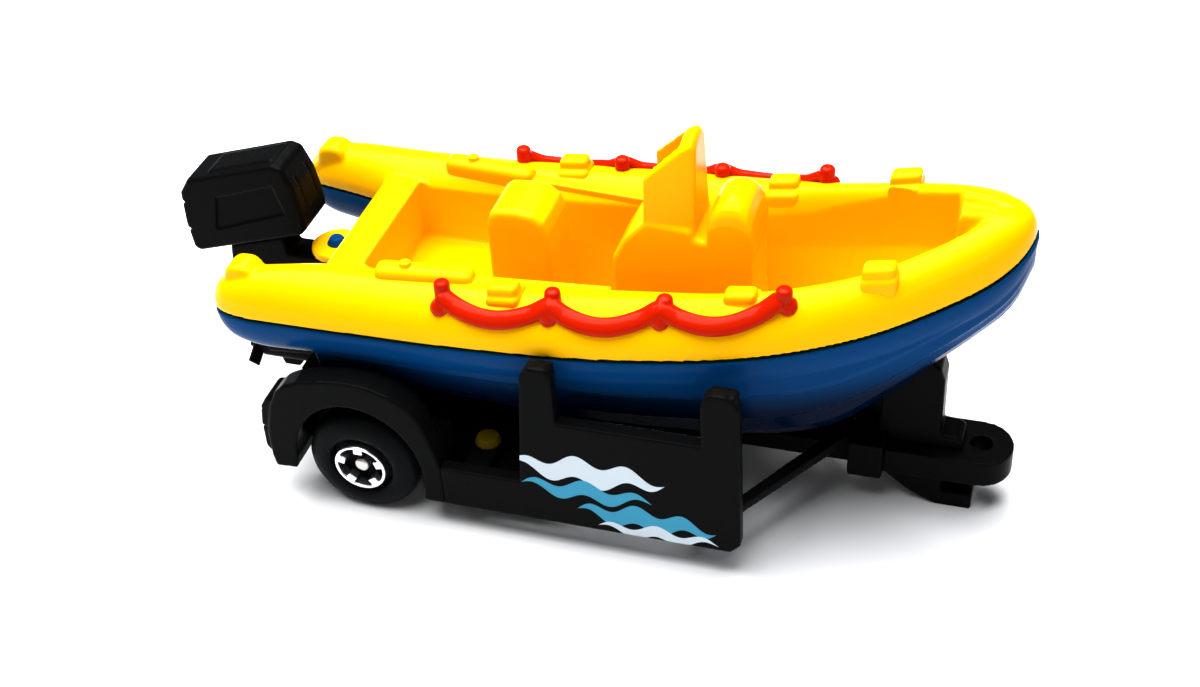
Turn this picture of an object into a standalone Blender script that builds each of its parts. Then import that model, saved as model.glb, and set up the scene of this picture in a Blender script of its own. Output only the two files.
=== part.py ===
"""Toy rescue boat on its two-wheeled launching trailer.

Lengths in the tables are millimetres. x is measured forward from the wheel axle, y to port
and z up from the floor; place() turns them into metres about the middle of the toy.
"""
import math

import bpy
import bmesh
from mathutils import Matrix, Vector

MM = 0.001
AXLE_X = -17.725            # wheel axle, from the middle of the whole length
FIT_GAP = 0.15              # air between two moulded pieces that seat in each other
SEAM_GAP = 0.35             # open seam between the deck and the hull

# Plan of the boat: straight sides, then half an ellipse round the bow.
BEAM_HALF = 13.05
BOW_START_X = 15.0
BOW_LENGTH = 41.1
TRANSOM_AFT_X = -4.4
TRANSOM_FORE_X = -0.6
TRANSOM_TOP = 22.0
TRAY_AFT_X = -3.5

# Height of the seam along the boat, and of the keel under it.
SHEER = ((-14, 19.0), (5, 19.1), (15, 19.5), (25, 20.2), (35, 21.3), (43, 23.1), (50, 25.5), (56.1, 27.1))
KEEL = ((-4.4, 7.8), (5, 7.0), (15, 6.4), (25, 6.0), (33, 6.2), (38, 7.0), (41.6, 8.3), (45, 11.0),
        (49.5, 15.3), (53, 19.2), (55.6, 22.5), (56.05, 25.0))

# Air collar: place, half outline, half width, height above the seam, depth below it.
COLLAR_TUBE = ((-14.0, 10.9, 0.7, 0.9, 1.2), (-13.3, 11.9, 1.7, 2.0, 2.6), (-12.0, 12.6, 2.5, 2.9, 3.6),
               (-9.5, 13.0, 3.2, 3.6, 4.1), (-5.0, 13.05, 3.5, 3.9, 4.2), (15.0, 13.05, 3.5, 3.9, 4.2))
COLLAR_BOW_HEIGHT = 3.6
COLLAR_ARC_STEPS = 15
COLLAR_INNER_ANGLE = 165.0
BOW_STEPS = 18

# Cockpit well: place, half width at the rim, half width at the floor, floor height.
WELL = ((-0.6, 6.7, 6.5, 15.9), (20, 6.6, 6.4, 15.9), (28, 6.45, 6.2, 15.9), (36, 6.2, 5.7, 15.9),
        (41, 5.8, 4.5, 17.2), (45, 5.0, 3.2, 19.0), (49.4, 3.3, 1.7, 22.0))
WELL_FLOOR = 15.9
TRAY_WALL = 0.9

WHEEL_RADIUS = 5.25
WHEEL_OUTER_Y = 14.67
AXLE_RADIUS = 0.75
PIN_RADIUS = 0.55
RUNNING_GAP = 0.08          # air between a pin or axle and what turns on it
SIDE_OUTER_Y = 15.17
SIDE_THICKNESS = 1.27
RAIL_BOTTOM = 2.65
RAIL_TOP = 6.93
PANEL_TOP = 14.3
UPRIGHT_TOP = 20.0
CAP_INNER_Y = 13.35
PIVOT_X = -6.65
HITCH_HOLE_X = 53.4
HITCH_BLOCK = (42.1, 45.2, -3.7, 3.7, 3.2, 6.9)
SEAT_GAP = 0.05             # air between pieces that stand on each other


def clear_scene():
    for obj in list(bpy.data.objects):
        bpy.data.objects.remove(obj, do_unlink=True)


def make_collection(name):
    collection = bpy.data.collections.new(name)
    bpy.context.scene.collection.children.link(collection)
    return collection


def place(x, y, z):
    return Vector(((x + AXLE_X) * MM, y * MM, z * MM))


def make_material(name, colour, roughness, metallic=0.0):
    material = bpy.data.materials.new(name)
    material.use_nodes = True
    shader = material.node_tree.nodes["Principled BSDF"]
    shader.inputs["Base Color"].default_value = (*colour, 1.0)
    shader.inputs["Roughness"].default_value = roughness
    shader.inputs["Metallic"].default_value = metallic
    material.diffuse_color = (*colour, 1.0)
    return material


def add_mesh(name, bm, material, collection):
    mesh = bpy.data.meshes.new(name)
    bm.to_mesh(mesh)
    bm.free()
    obj = bpy.data.objects.new(name, mesh)
    collection.objects.link(obj)
    if material:
        mesh.materials.append(material)
    return obj


def add_tool(name, bm):
    tool = add_mesh(name, bm, None, bpy.data.collections["cutters"])
    tool.hide_render = True
    tool.display_type = "WIRE"
    return tool


def combine(target, tool, operation):
    modifier = target.modifiers.new(operation.lower() + "_" + tool.name, "BOOLEAN")
    modifier.operation = operation
    modifier.object = tool
    modifier.solver = "EXACT"
    return modifier


def round_edges(obj, width, segments=2, angle=40.0):
    bevel = obj.modifiers.new("rounding", "BEVEL")
    bevel.width = width * MM
    bevel.segments = segments
    bevel.limit_method = "ANGLE"
    bevel.angle_limit = math.radians(angle)
    return bevel


def mirror_side(obj):
    mirror = obj.modifiers.new("other_side", "MIRROR")
    mirror.use_axis = (False, True, False)
    mirror.merge_threshold = 0.00001
    return mirror


def shade_round(obj, angle=35.0):
    obj.data.shade_smooth()
    obj.data.set_sharp_from_angle(angle=math.radians(angle))


def along(table, x, column=1):
    """Smooth value of one column of a table at the place x."""
    last = len(table) - 1
    if x <= table[0][0]:
        return table[0][column]
    if x >= table[last][0]:
        return table[last][column]
    i = max(k for k in range(last) if table[k][0] <= x)
    x0, x1 = table[i][0], table[i + 1][0]
    v0, v1 = table[i][column], table[i + 1][column]

    def slope(k):
        low, high = max(k - 1, 0), min(k + 1, last)
        return (table[high][column] - table[low][column]) / (table[high][0] - table[low][0])

    span = x1 - x0
    t = (x - x0) / span
    bend0, bend1 = slope(i) * span, slope(i + 1) * span
    return ((2 * t**3 - 3 * t**2 + 1) * v0 + (t**3 - 2 * t**2 + t) * bend0
            + (3 * t**2 - 2 * t**3) * v1 + (t**3 - t**2) * bend1)


def half_outline(x):
    """Half breadth of the boat at the seam."""
    if x <= BOW_START_X:
        return along(COLLAR_TUBE, x)
    reach = min((x - BOW_START_X) / BOW_LENGTH, 1.0)
    return BEAM_HALF * math.sqrt(1.0 - reach * reach)


def collar_sections(below):
    """Starboard half of the collar as arches set square to the outline, stern to bow."""
    stations = []
    straight = [-14.0, -13.7, -13.3, -12.7, -12.0, -11.0, -9.5, -7.5, -5.0, 5.0, 15.0]
    for x in straight:
        size = along(COLLAR_TUBE, x, 4) if below else along(COLLAR_TUBE, x, 3)
        stations.append((x, along(COLLAR_TUBE, x, 1), 0.0, 1.0, along(COLLAR_TUBE, x, 2), size))
    full_width = COLLAR_TUBE[-1][2]
    for step in range(1, BOW_STEPS + 1):
        turn = math.radians(90.0 * step / BOW_STEPS)
        x = BOW_START_X + BOW_LENGTH * math.sin(turn)
        w = BEAM_HALF * math.cos(turn)
        normal = Vector((math.sin(turn) / BOW_LENGTH, math.cos(turn) / BEAM_HALF)).normalized()
        mid = COLLAR_TUBE[-1][4] if below else COLLAR_TUBE[-1][3]
        size = mid + (COLLAR_BOW_HEIGHT - mid) * step / BOW_STEPS
        stations.append((x, w, normal.x, normal.y, full_width, size))
    return stations


def collar_half(below=False, grow=0.0):
    """Arched tube over the seam, or the rounded chine tube under it, one side only."""
    bm = bmesh.new()
    rings = []
    on_axis = []
    for x, w, nx, nw, half_width, size in collar_sections(below):
        size += grow
        reach = half_width * (1.0 - math.cos(math.radians(COLLAR_INNER_ANGLE)))
        to_axis = w / nw if nw > 1e-6 else BEAM_HALF**2 / BOW_LENGTH
        depth = min(reach, to_axis)
        last_angle = math.acos(1.0 - depth / half_width)
        ring = []
        for i in range(COLLAR_ARC_STEPS + 1):
            angle = last_angle * i / COLLAR_ARC_STEPS
            inward = half_width * (1.0 - math.cos(angle)) - grow * math.cos(angle)
            rise = size * math.sin(angle)
            px, py = x - nx * inward, w - nw * inward
            if depth < reach and i == COLLAR_ARC_STEPS:
                px, py = x - nx * depth, 0.0
            level = along(SHEER, px) - (SEAM_GAP + rise if below else -rise)
            ring.append(bm.verts.new(place(px, -max(py, 0.0), level)))
        foot_level = along(SHEER, px) - (SEAM_GAP if below else 0.0)
        ring.append(bm.verts.new(place(px, -max(py, 0.0), foot_level)))
        rings.append(ring)
        on_axis.append(depth < reach)
    count = COLLAR_ARC_STEPS + 2
    for a in range(len(rings) - 1):
        for i in range(count):
            j = (i + 1) % count
            wall_on_axis = i == COLLAR_ARC_STEPS and on_axis[a] and on_axis[a + 1]
            if not wall_on_axis:
                bm.faces.new((rings[a][i], rings[a][j], rings[a + 1][j], rings[a + 1][i]))
    bm.faces.new(rings[0])
    bmesh.ops.remove_doubles(bm, verts=bm.verts[:], dist=1e-7)
    bmesh.ops.recalc_face_normals(bm, faces=bm.faces[:])
    return bm


def loft(rings, split=False, open_end=False):
    """Skin over equal rings of points, with flat ends; split cuts every panel the same way."""
    bm = bmesh.new()
    rows = [[bm.verts.new(point) for point in ring] for ring in rings]
    count = len(rows[0])
    for a in range(len(rows) - 1):
        for i in range(count):
            j = (i + 1) % count
            if split:
                bm.faces.new((rows[a][i], rows[a][j], rows[a + 1][j]))
                bm.faces.new((rows[a][i], rows[a + 1][j], rows[a + 1][i]))
            else:
                bm.faces.new((rows[a][i], rows[a][j], rows[a + 1][j], rows[a + 1][i]))
    bm.faces.new(rows[0])
    if not open_end:
        bm.faces.new(list(reversed(rows[-1])))
    bmesh.ops.recalc_face_normals(bm, faces=bm.faces[:])
    return bm


def well_sections(grow, top_of, lowest=None):
    """Rings of the cockpit well, or with grow of the tray that is moulded round it."""
    rings = []
    first, last = WELL[0][0], WELL[-1][0]
    steps = 16
    for k in range(steps + 1):
        x = first + (last - first) * k / steps
        rim, floor_half, floor = (along(WELL, x, c) for c in (1, 2, 3))
        edge = x
        if grow and k == 0:
            edge = TRAY_AFT_X - (grow - TRAY_WALL)
        if grow and k == steps:
            edge = x + grow
        top = top_of(x)
        rim, floor_half, floor = rim + grow, floor_half + grow, floor - grow
        floor = floor if lowest is None else min(floor, lowest)
        rings.append([place(edge, -rim, top), place(edge, -rim, along(SHEER, x) - 1.5),
                      place(edge, -floor_half, floor), place(edge, floor_half, floor),
                      place(edge, rim, along(SHEER, x) - 1.5), place(edge, rim, top)])
    return rings


def box(x0, x1, y0, y1, z0, z1):
    bm = bmesh.new()
    bmesh.ops.create_cube(bm, size=1.0)
    size = Vector((x1 - x0, y1 - y0, z1 - z0)) * MM
    middle = place((x0 + x1) / 2, (y0 + y1) / 2, (z0 + z1) / 2)
    bmesh.ops.scale(bm, vec=size, verts=bm.verts)
    bmesh.ops.translate(bm, vec=middle, verts=bm.verts)
    return bm


def rod(radius, start, end, sides=24, end_radius=None):
    """Round bar from one point to another."""
    a, b = place(*start), place(*end)
    bm = bmesh.new()
    bmesh.ops.create_cone(bm, cap_ends=True, segments=sides, radius1=radius * MM,
                          radius2=(radius if end_radius is None else end_radius) * MM,
                          depth=(b - a).length)
    turn = Vector((0, 0, 1)).rotation_difference((b - a).normalized()).to_matrix().to_4x4()
    bmesh.ops.transform(bm, matrix=Matrix.Translation((a + b) / 2) @ turn, verts=bm.verts)
    return bm


def side_prism(points, y0, y1):
    """Flat plate standing fore and aft: an outline in x and z, from y0 to y1."""
    return loft([[place(x, y, z) for x, z in points] for y in (y0, y1)])


def plan_prism(points, z0, z1):
    """Flat plate lying down: an outline in x and y, from z0 to z1."""
    return loft([[place(x, y, z) for x, y in points] for z in (z0, z1)])


def arc(cx, cz, rx, rz, start, end, steps):
    """Points of an elliptical arc, angles in degrees from forward, turning up."""
    points = []
    for k in range(steps + 1):
        angle = math.radians(start + (end - start) * k / steps)
        points.append((cx + rx * math.cos(angle), cz + rz * math.sin(angle)))
    return points


# Deck moulding

# Rubbing pads on the collar: place, half breadth, length, top, rise for each millimetre forward.
PADS = ((13.9, 10.1, 2.9, 24.1, 0.13), (33.8, 8.25, 2.8, 25.55, 0.17), (44.6, 7.0, 2.5, 28.7, 0.42))
PAD_WIDTH = 1.5
PAD_DEPTH = 3.0
PAD_FOOT_WIDTH = 1.55
PAD_FOOT_OUT = 0.1
PAD_FOOT_DROP = 0.75
PAD_FOOT_REACH = (0.1, 0.3)
HORN_Y = 9.95
HORN_HALF_WIDTH = 1.35
HORN_SIDE = ((-13.9, 19.8), (-13.2, 20.9), (-12.3, 21.5), (-11.9, 23.0), (-11.3, 23.6), (-9.6, 23.6), (-9.0, 23.0),
             (-8.6, 21.8), (-9.0, 19.8))
PADDLE_AFT = (2.0, 8.75)
PADDLE_FORE = (21.5, 7.15)
PADDLE_BLADE_LENGTH = 7.7
LUG_RADIUS = 2.4
LUG_TOP = 18.7
LUG_BOTTOM = 17.9


def tilted_block(x0, x1, y, width, top, rise):
    """Block whose top and foot climb towards the bow; top is its height half way along."""
    climb = rise * (x1 - x0) / 2
    outline = ((x0, top - PAD_DEPTH - climb), (x1, top - PAD_DEPTH + climb), (x1, top + climb), (x0, top - climb))
    return side_prism(outline, y - width / 2, y + width / 2)


def add_pads(deck):
    back, ahead = PAD_FOOT_REACH
    for number, (x, y, length, top, rise) in enumerate(PADS):
        x0, x1 = x - length / 2, x + length / 2
        for side in (-1, 1):
            block = add_tool(f"pad_{number}_{side}", tilted_block(x0, x1, side * y, PAD_WIDTH, top, rise))
            round_edges(block, 0.35)
            combine(deck, block, "UNION")
            foot = add_tool(f"pad_foot_{number}_{side}",
                            tilted_block(x0 - back, x1 + ahead, side * (y + PAD_FOOT_OUT), PAD_FOOT_WIDTH,
                                         top - PAD_FOOT_DROP, rise))
            round_edges(foot, 0.3)
            combine(deck, foot, "UNION")


def paddle_box(from_aft, to_aft, half_width, low, high, side):
    """Block along the paddle, between two distances from its aft end."""
    (x0, y0), (x1, y1) = PADDLE_AFT, PADDLE_FORE
    run = Vector((x1 - x0, y1 - y0)).normalized()
    across = Vector((-run.y, run.x)) * half_width
    a, b = Vector(PADDLE_AFT) + run * from_aft, Vector(PADDLE_AFT) + run * to_aft
    corners = (a - across, b - across, b + across, a + across)
    return plan_prism([(c.x, side * c.y) for c in corners], low, high)


def add_paddle(deck, side):
    length = math.dist(PADDLE_AFT, PADDLE_FORE)
    blade = add_tool(f"paddle_blade_{side}", paddle_box(0.0, PADDLE_BLADE_LENGTH, 0.95, 21.6, 23.55, side))
    round_edges(blade, 0.6)
    combine(deck, blade, "UNION")
    shaft = add_tool(f"paddle_shaft_{side}", paddle_box(5.0, length, 0.6, 21.0, 23.0, side))
    round_edges(shaft, 0.3)
    combine(deck, shaft, "UNION")
    boss = add_tool(f"paddle_boss_{side}", rod(0.6, (4.35, side * 8.55, 22.5), (4.35, side * 8.55, 23.8), 16, 0.5))
    combine(deck, boss, "UNION")


def build_deck(material, collection):
    deck = add_mesh("deck_moulding", collar_half(), material, collection)
    mirror_side(deck)
    tray = add_tool("tray_block", loft(well_sections(TRAY_WALL, lambda x: along(SHEER, x) + 0.8), True))
    combine(deck, tray, "UNION")
    bar = add_tool("transom_bar", box(TRANSOM_AFT_X, TRANSOM_FORE_X + 1.0, -8.0, 8.0, 19.1, TRANSOM_TOP))
    round_edges(bar, 1.1, 3)
    combine(deck, bar, "UNION")
    lug = add_tool("motor_lug", rod(LUG_RADIUS, (PIVOT_X, 0, LUG_BOTTOM), (PIVOT_X, 0, LUG_TOP), 32))
    combine(deck, lug, "UNION")
    neck = add_tool("lug_neck", box(PIVOT_X, TRAY_AFT_X + 0.4, -LUG_RADIUS, LUG_RADIUS, LUG_BOTTOM, LUG_TOP))
    combine(deck, neck, "UNION")
    tongue = add_tool("bow_tongue", plan_prism(((48.0, -2.2), (52.0, -1.5), (54.4, -0.6), (54.4, 0.6), (52.0, 1.5),
                                                (48.0, 2.2)), 27.4, 29.6))
    round_edges(tongue, 0.3)
    combine(deck, tongue, "UNION")
    add_pads(deck)
    for side in (-1, 1):
        add_paddle(deck, side)
        horn = add_tool(f"stern_horn_{side}", side_prism(HORN_SIDE, side * HORN_Y - HORN_HALF_WIDTH,
                                                         side * HORN_Y + HORN_HALF_WIDTH))
        round_edges(horn, 0.6)
        combine(deck, horn, "UNION")
    well = add_tool("cockpit_well", loft(well_sections(0.0, lambda x: 45.0), True))
    combine(deck, well, "DIFFERENCE")
    hole = add_tool("pin_hole", rod(PIN_RADIUS + RUNNING_GAP, (PIVOT_X, 0, 16), (PIVOT_X, 0, 20)))
    combine(deck, hole, "DIFFERENCE")
    return deck


def build_aft_seat(material, collection):
    outline = ((9.4, WELL_FLOOR), (9.8, 24.6), (10.1, 25.7), (10.7, 26.2), (12.4, 26.4), (14.0, 26.15), (14.9, 25.5),
               (15.3, 24.3), (15.5, 22.5), (15.6, WELL_FLOOR))
    seat = add_mesh("aft_seat", side_prism(outline, -2.8, 2.8), material, collection)
    round_edges(seat, 0.45)
    return seat


# Windscreen: place, half width and height of its foot, half width and height of its rim, crest on the middle.
WINDSCREEN = ((24.0, 2.97, 26.3, 2.35, 31.0, 31.9), (25.2, 2.92, 26.3, 2.2, 32.1, 33.0),
              (26.2, 2.86, 26.3, 2.08, 33.0, 34.0), (27.2, 2.78, 26.3, 1.95, 33.9, 34.8),
              (28.0, 2.7, 26.3, 1.78, 34.4, 35.15), (28.4, 2.6, 26.3, 1.6, 34.0, 34.7))
DASH_TOP = 29.0
SCREEN_WALL = 0.55
SCREEN_FRONT_WALL = 1.0
# Bolster ahead of the windscreen: its outline, and the share of its height at each place across.
BOLSTER_FOOT = 25.0
BOLSTER_SIDE = ((29.6, 25.0), (29.7, 27.9), (30.2, 29.6), (31.2, 30.6), (32.1, 29.9), (32.6, 28.2), (32.9, 25.0))
BOLSTER_CROWN = ((-3.0, 0.5), (-2.4, 0.77), (-1.5, 0.93), (0.0, 1.0), (1.5, 0.93), (2.4, 0.77), (3.0, 0.5))


def windscreen_ring(x, foot_half, foot, rim_half, rim, crest):
    half = [(foot_half, foot), (rim_half, rim), (rim_half * 0.62, rim + (crest - rim) * 0.72),
            (rim_half * 0.3, rim + (crest - rim) * 0.94)]
    ring = [place(x, -y, z) for y, z in half]
    return ring + [place(x, y, z) for y, z in reversed(half)]


def build_console(material, collection):
    outline = ((20.8, WELL_FLOOR), (21.1, 23.2), (22.3, 25.4), (23.6, 26.8), (24.2, 27.4), (28.1, 27.0), (28.4, 26.1),
               (29.7, 25.9), (32.7, 25.6), (33.1, 20.8), (33.6, WELL_FLOOR))
    console = add_mesh("helm_console", side_prism(outline, -3.0, 3.0), material, collection)
    round_edges(console, 0.35)
    hood = add_tool("windscreen_hood", loft([windscreen_ring(*row) for row in WINDSCREEN], True))
    combine(console, hood, "UNION")
    inner = []
    for x, half, foot, rim_half, rim, crest in WINDSCREEN[:-1]:
        dash_half = half + (rim_half - half) * (DASH_TOP - foot) / (rim - foot)
        inner.append((x - SCREEN_FRONT_WALL, dash_half - SCREEN_WALL, DASH_TOP, rim_half - SCREEN_WALL,
                      rim + 1.0, crest + 3.0))
    open_side = add_tool("windscreen_hollow", loft([windscreen_ring(*row) for row in inner], True))
    combine(console, open_side, "DIFFERENCE")
    bolster = add_tool("bolster", loft([[place(x, y, BOLSTER_FOOT + (z - BOLSTER_FOOT) * share)
                                         for x, z in BOLSTER_SIDE] for y, share in BOLSTER_CROWN]))
    combine(console, bolster, "UNION")
    return console


# Hull

HULL_STATIONS = (-4.4, 2, 8, 15, 22, 28, 33, 37, 40.5, 43.5, 46, 48.2, 50.2, 52, 53.4, 54.5, 55.3, 55.8, 56.0)
SEAM_LIP_INSET = (0.6, 1.4)
LIP_GAP = 0.1
# Half section from the seam to the keel: share of the half breadth, share of the depth.
HULL_SECTION = ((0.93, 0.90), (0.90, 0.70), (0.80, 0.52), (0.77, 0.505), (0.60, 0.37), (0.57, 0.35),
                (0.37, 0.21), (0.34, 0.19), (0.0, 0.0))


def hull_half():
    rings = []
    for x in HULL_STATIONS:
        breadth = half_outline(max(x, TRANSOM_AFT_X))
        seam = along(SHEER, x) - SEAM_GAP
        keel = along(KEEL, x)
        ring = [place(x, 0, keel + (seam - keel) * HULL_SECTION[0][1])]
        for share, height in HULL_SECTION:
            ring.append(place(x, -breadth * share, keel + (seam - keel) * height))
        rings.append(ring)
    bm = bmesh.new()
    rows = [[bm.verts.new(point) for point in ring] for ring in rings]
    for a in range(len(rows) - 1):
        for i in range(len(rows[0]) - 1):
            bm.faces.new((rows[a][i], rows[a][i + 1], rows[a + 1][i + 1], rows[a + 1][i]))
    bm.faces.new(rows[0])
    bm.faces.new(list(reversed(rows[-1])))
    bmesh.ops.recalc_face_normals(bm, faces=bm.faces[:])
    return bm


def seam_lip_half():
    """Rib that stands up inside the seam, so that no light shows through it."""
    rings = []
    outer, inner = SEAM_LIP_INSET
    for x in (-12.5, -11.5, -9.5, -5.0, 5.0, 15.0):
        w = along(COLLAR_TUBE, x)
        rings.append([(x, w - outer), (x, w - inner)])
    for step in range(1, BOW_STEPS + 1):
        turn = math.radians(90.0 * step / BOW_STEPS)
        rings.append([(BOW_START_X + (BOW_LENGTH - inset) * math.sin(turn), (BEAM_HALF - inset) * math.cos(turn))
                      for inset in (outer, inner)])
    corners = []
    for (x0, w0), (x1, w1) in rings:
        corners.append([place(x0, -w0, along(SHEER, x0) - 1.2), place(x0, -w0, along(SHEER, x0) - LIP_GAP),
                        place(x1, -w1, along(SHEER, x1) - LIP_GAP), place(x1, -w1, along(SHEER, x1) - 1.2)])
    for corner in corners[-1]:
        corner.y = 0.0
    return loft(corners, open_end=True)


def build_hull(material, collection):
    hull = add_mesh("hull", hull_half(), material, collection)
    mirror_side(hull)
    chine_tube = add_tool("chine_tube", collar_half(below=True))
    mirror_side(chine_tube)
    combine(hull, chine_tube, "UNION")
    lip = add_tool("seam_lip", seam_lip_half())
    mirror_side(lip)
    combine(hull, lip, "UNION")
    ledge = add_tool("motor_ledge", rod(1.75, (PIVOT_X, 0, 14.2), (PIVOT_X, 0, 15.7), 32))
    combine(hull, ledge, "UNION")
    root = add_tool("ledge_root", box(PIVOT_X, TRANSOM_AFT_X + 0.4, -1.75, 1.75, 14.2, 15.7))
    combine(hull, root, "UNION")
    cavity = add_tool("tray_cavity", loft(well_sections(TRAY_WALL + FIT_GAP, lambda x: 40.0), True))
    combine(hull, cavity, "DIFFERENCE")
    notch_half = LUG_RADIUS + FIT_GAP
    notch = add_tool("lug_notch", box(TRANSOM_AFT_X - 0.5, TRAY_AFT_X + 0.5, -notch_half, notch_half,
                                      LUG_BOTTOM - FIT_GAP, 24.0))
    combine(hull, notch, "DIFFERENCE")
    return hull


def build_pivot_pin(material, collection):
    pin = add_mesh("pivot_pin", rod(PIN_RADIUS, (PIVOT_X, 0, 15.7), (PIVOT_X, 0, 19.0)), material, collection)
    head = add_tool("pin_head", rod(0.95, (PIVOT_X, 0, LUG_TOP), (PIVOT_X, 0, LUG_TOP + 0.6), 24, 0.6))
    combine(pin, head, "UNION")
    return pin


# Red grab lines

GRAB_KNOBS = ((8.52, 10.69, 24.26), (18.24, 10.32, 24.63), (27.76, 9.97, 25.22), (37.38, 9.04, 26.92))
GRAB_HIGH_ANGLE = 66.0
GRAB_SAG_ANGLE = 22.5
GRAB_BULB_ANGLE = 54.0
GRAB_BULB_RADIUS = 1.15
GRAB_HALF_WIDTH = 0.75
GRAB_HALF_THICK = 0.45


def collar_point(x, angle, lift):
    """Point over the collar's surface at the place x and the angle up from the seam."""
    if x <= BOW_START_X:
        nx, nw = 0.0, 1.0
        base_x, base_w = x, half_outline(x)
    else:
        turn = math.asin((x - BOW_START_X) / BOW_LENGTH)
        normal = Vector((math.sin(turn) / BOW_LENGTH, math.cos(turn) / BEAM_HALF)).normalized()
        nx, nw = normal.x, normal.y
        base_x, base_w = x, BEAM_HALF * math.cos(turn)
    width = COLLAR_TUBE[-1][2]
    inward = width * (1.0 - math.cos(angle)) - lift * math.cos(angle)
    px, pw = base_x - nx * inward, base_w - nw * inward
    return px, pw, along(SHEER, px) + (COLLAR_TUBE[-1][3] + lift) * math.sin(angle)


def grab_route(steps_per_span=8):
    points = []
    for (x0, _, _), (x1, _, _) in zip(GRAB_KNOBS, GRAB_KNOBS[1:]):
        for k in range(steps_per_span):
            share = k / steps_per_span
            sag = math.sin(math.pi * share)
            points.append((x0 + (x1 - x0) * share, math.radians(GRAB_HIGH_ANGLE - GRAB_SAG_ANGLE * sag)))
    points.append((GRAB_KNOBS[-1][0], math.radians(GRAB_HIGH_ANGLE)))
    return points


def band(points, outward):
    """Flat cord laid over the collar: an oval at every point, set square to the run of the line."""
    rings = []
    for number, (point, out) in enumerate(zip(points, outward)):
        run = (points[min(number + 1, len(points) - 1)] - points[max(number - 1, 0)]).normalized()
        across = run.cross(out).normalized()
        lift = across.cross(run)
        ring = []
        for step in range(10):
            turn = 2.0 * math.pi * step / 10
            ring.append(point + across * math.cos(turn) * GRAB_HALF_WIDTH * MM
                        + lift * math.sin(turn) * GRAB_HALF_THICK * MM)
        rings.append(ring)
    return loft(rings)


def ball(radius, middle):
    bm = bmesh.new()
    bmesh.ops.create_uvsphere(bm, u_segments=16, v_segments=10, radius=radius * MM)
    bmesh.ops.translate(bm, vec=place(*middle), verts=bm.verts)
    return bm


def build_grab_line(name, side, material, collection, collar_clear):
    points, outward = [], []
    for x, angle in grab_route():
        px, pw, pz = collar_point(x, angle, 0.1)
        over_x, over_w, over_z = collar_point(x, angle, 1.1)
        points.append(place(px, side * pw, pz))
        outward.append(Vector((over_x - px, side * (over_w - pw), over_z - pz)).normalized())
    line = add_mesh(name, band(points, outward), material, collection)
    for number, (x, w, top) in enumerate(GRAB_KNOBS):
        pin = add_tool(f"{name}_pin_{number}", rod(0.68, (x, side * w, top - 3.0), (x, side * w, top), 16))
        round_edges(pin, 0.25)
        combine(line, pin, "UNION")
        px, pw, pz = collar_point(x, math.radians(GRAB_BULB_ANGLE), -0.35)
        combine(line, add_tool(f"{name}_bulb_{number}", ball(GRAB_BULB_RADIUS, (px, side * pw, pz))), "UNION")
    combine(line, collar_clear, "DIFFERENCE")
    return line


# Outboard motor

COWL_SIDE = ((-19.6, 25.3), (-10.6, 28.0), (-9.6, 27.7), (-8.75, 25.6), (-8.3, 23.0), (-8.25, 21.4), (-8.9, 20.7),
             (-19.9, 17.35), (-20.5, 17.7), (-20.75, 20.5), (-20.6, 23.8))
COWL_HALF_WIDTH = 2.4
COWL_LID = ((-17.6, 25.2), (-17.6, 26.1), (-11.0, 28.1), (-10.5, 27.6), (-11.0, 27.2))
COWL_LID_HALF_WIDTH = 1.5
COWL_PANEL = ((-16.9, 23.8), (-10.85, 25.9), (-10.05, 22.9), (-17.6, 20.1))
LOUVRE_HEIGHTS = (19.7, 22.7)


def build_cowl(material, collection):
    cowl = add_mesh("outboard_cowl", side_prism(COWL_SIDE, -COWL_HALF_WIDTH, COWL_HALF_WIDTH), material, collection)
    round_edges(cowl, 0.6, 3)
    lid = add_tool("cowl_lid", side_prism(COWL_LID, -COWL_LID_HALF_WIDTH, COWL_LID_HALF_WIDTH))
    combine(cowl, lid, "UNION")
    for number, z in enumerate(LOUVRE_HEIGHTS):
        slot = ((-21.5, z - 0.5), (-20.3, z - 0.05), (-20.3, z + 0.3), (-21.5, z))
        combine(cowl, add_tool(f"louvre_{number}", side_prism(slot, -4.0, 4.0)), "DIFFERENCE")
    for side in (-1, 1):
        y0, y1 = sorted((side * (COWL_HALF_WIDTH - 0.2), side * (COWL_HALF_WIDTH + 1.0)))
        combine(cowl, add_tool(f"cowl_panel_{side}", side_prism(COWL_PANEL, y0, y1)), "DIFFERENCE")
    return cowl


def build_leg(material, collection):
    outline = ((-17.2, 17.9), (-11.2, 19.73), (-11.1, 18.0), (-10.8, 16.2), (-10.6, 14.5), (-10.2, 8.0), (-10.0, 5.6),
               (-15.8, 5.2), (-16.0, 8.5), (-17.4, 16.0))
    leg = add_mesh("outboard_leg", side_prism(outline, -1.5, 1.5), material, collection)
    arm = add_tool("motor_arm", box(-11.5, PIVOT_X, -1.5, 1.5, 16.0, 17.6))
    eye = add_tool("motor_eye", rod(1.6, (PIVOT_X, 0, 16.0), (PIVOT_X, 0, 17.6)))
    gearcase = add_tool("gearcase", rod(1.1, (-10.6, 0, 4.9), (-16.6, 0, 4.9), 20))
    skeg = add_tool("skeg", side_prism(((-11.6, 4.9), (-13.2, 2.9), (-14.8, 2.9), (-15.4, 4.9)), -0.35, 0.35))
    for tool in (arm, eye, gearcase, skeg):
        combine(leg, tool, "UNION")
    hole = add_tool("eye_hole", rod(PIN_RADIUS + RUNNING_GAP, (PIVOT_X, 0, 15), (PIVOT_X, 0, 19)))
    combine(leg, hole, "DIFFERENCE")
    return leg


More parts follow.
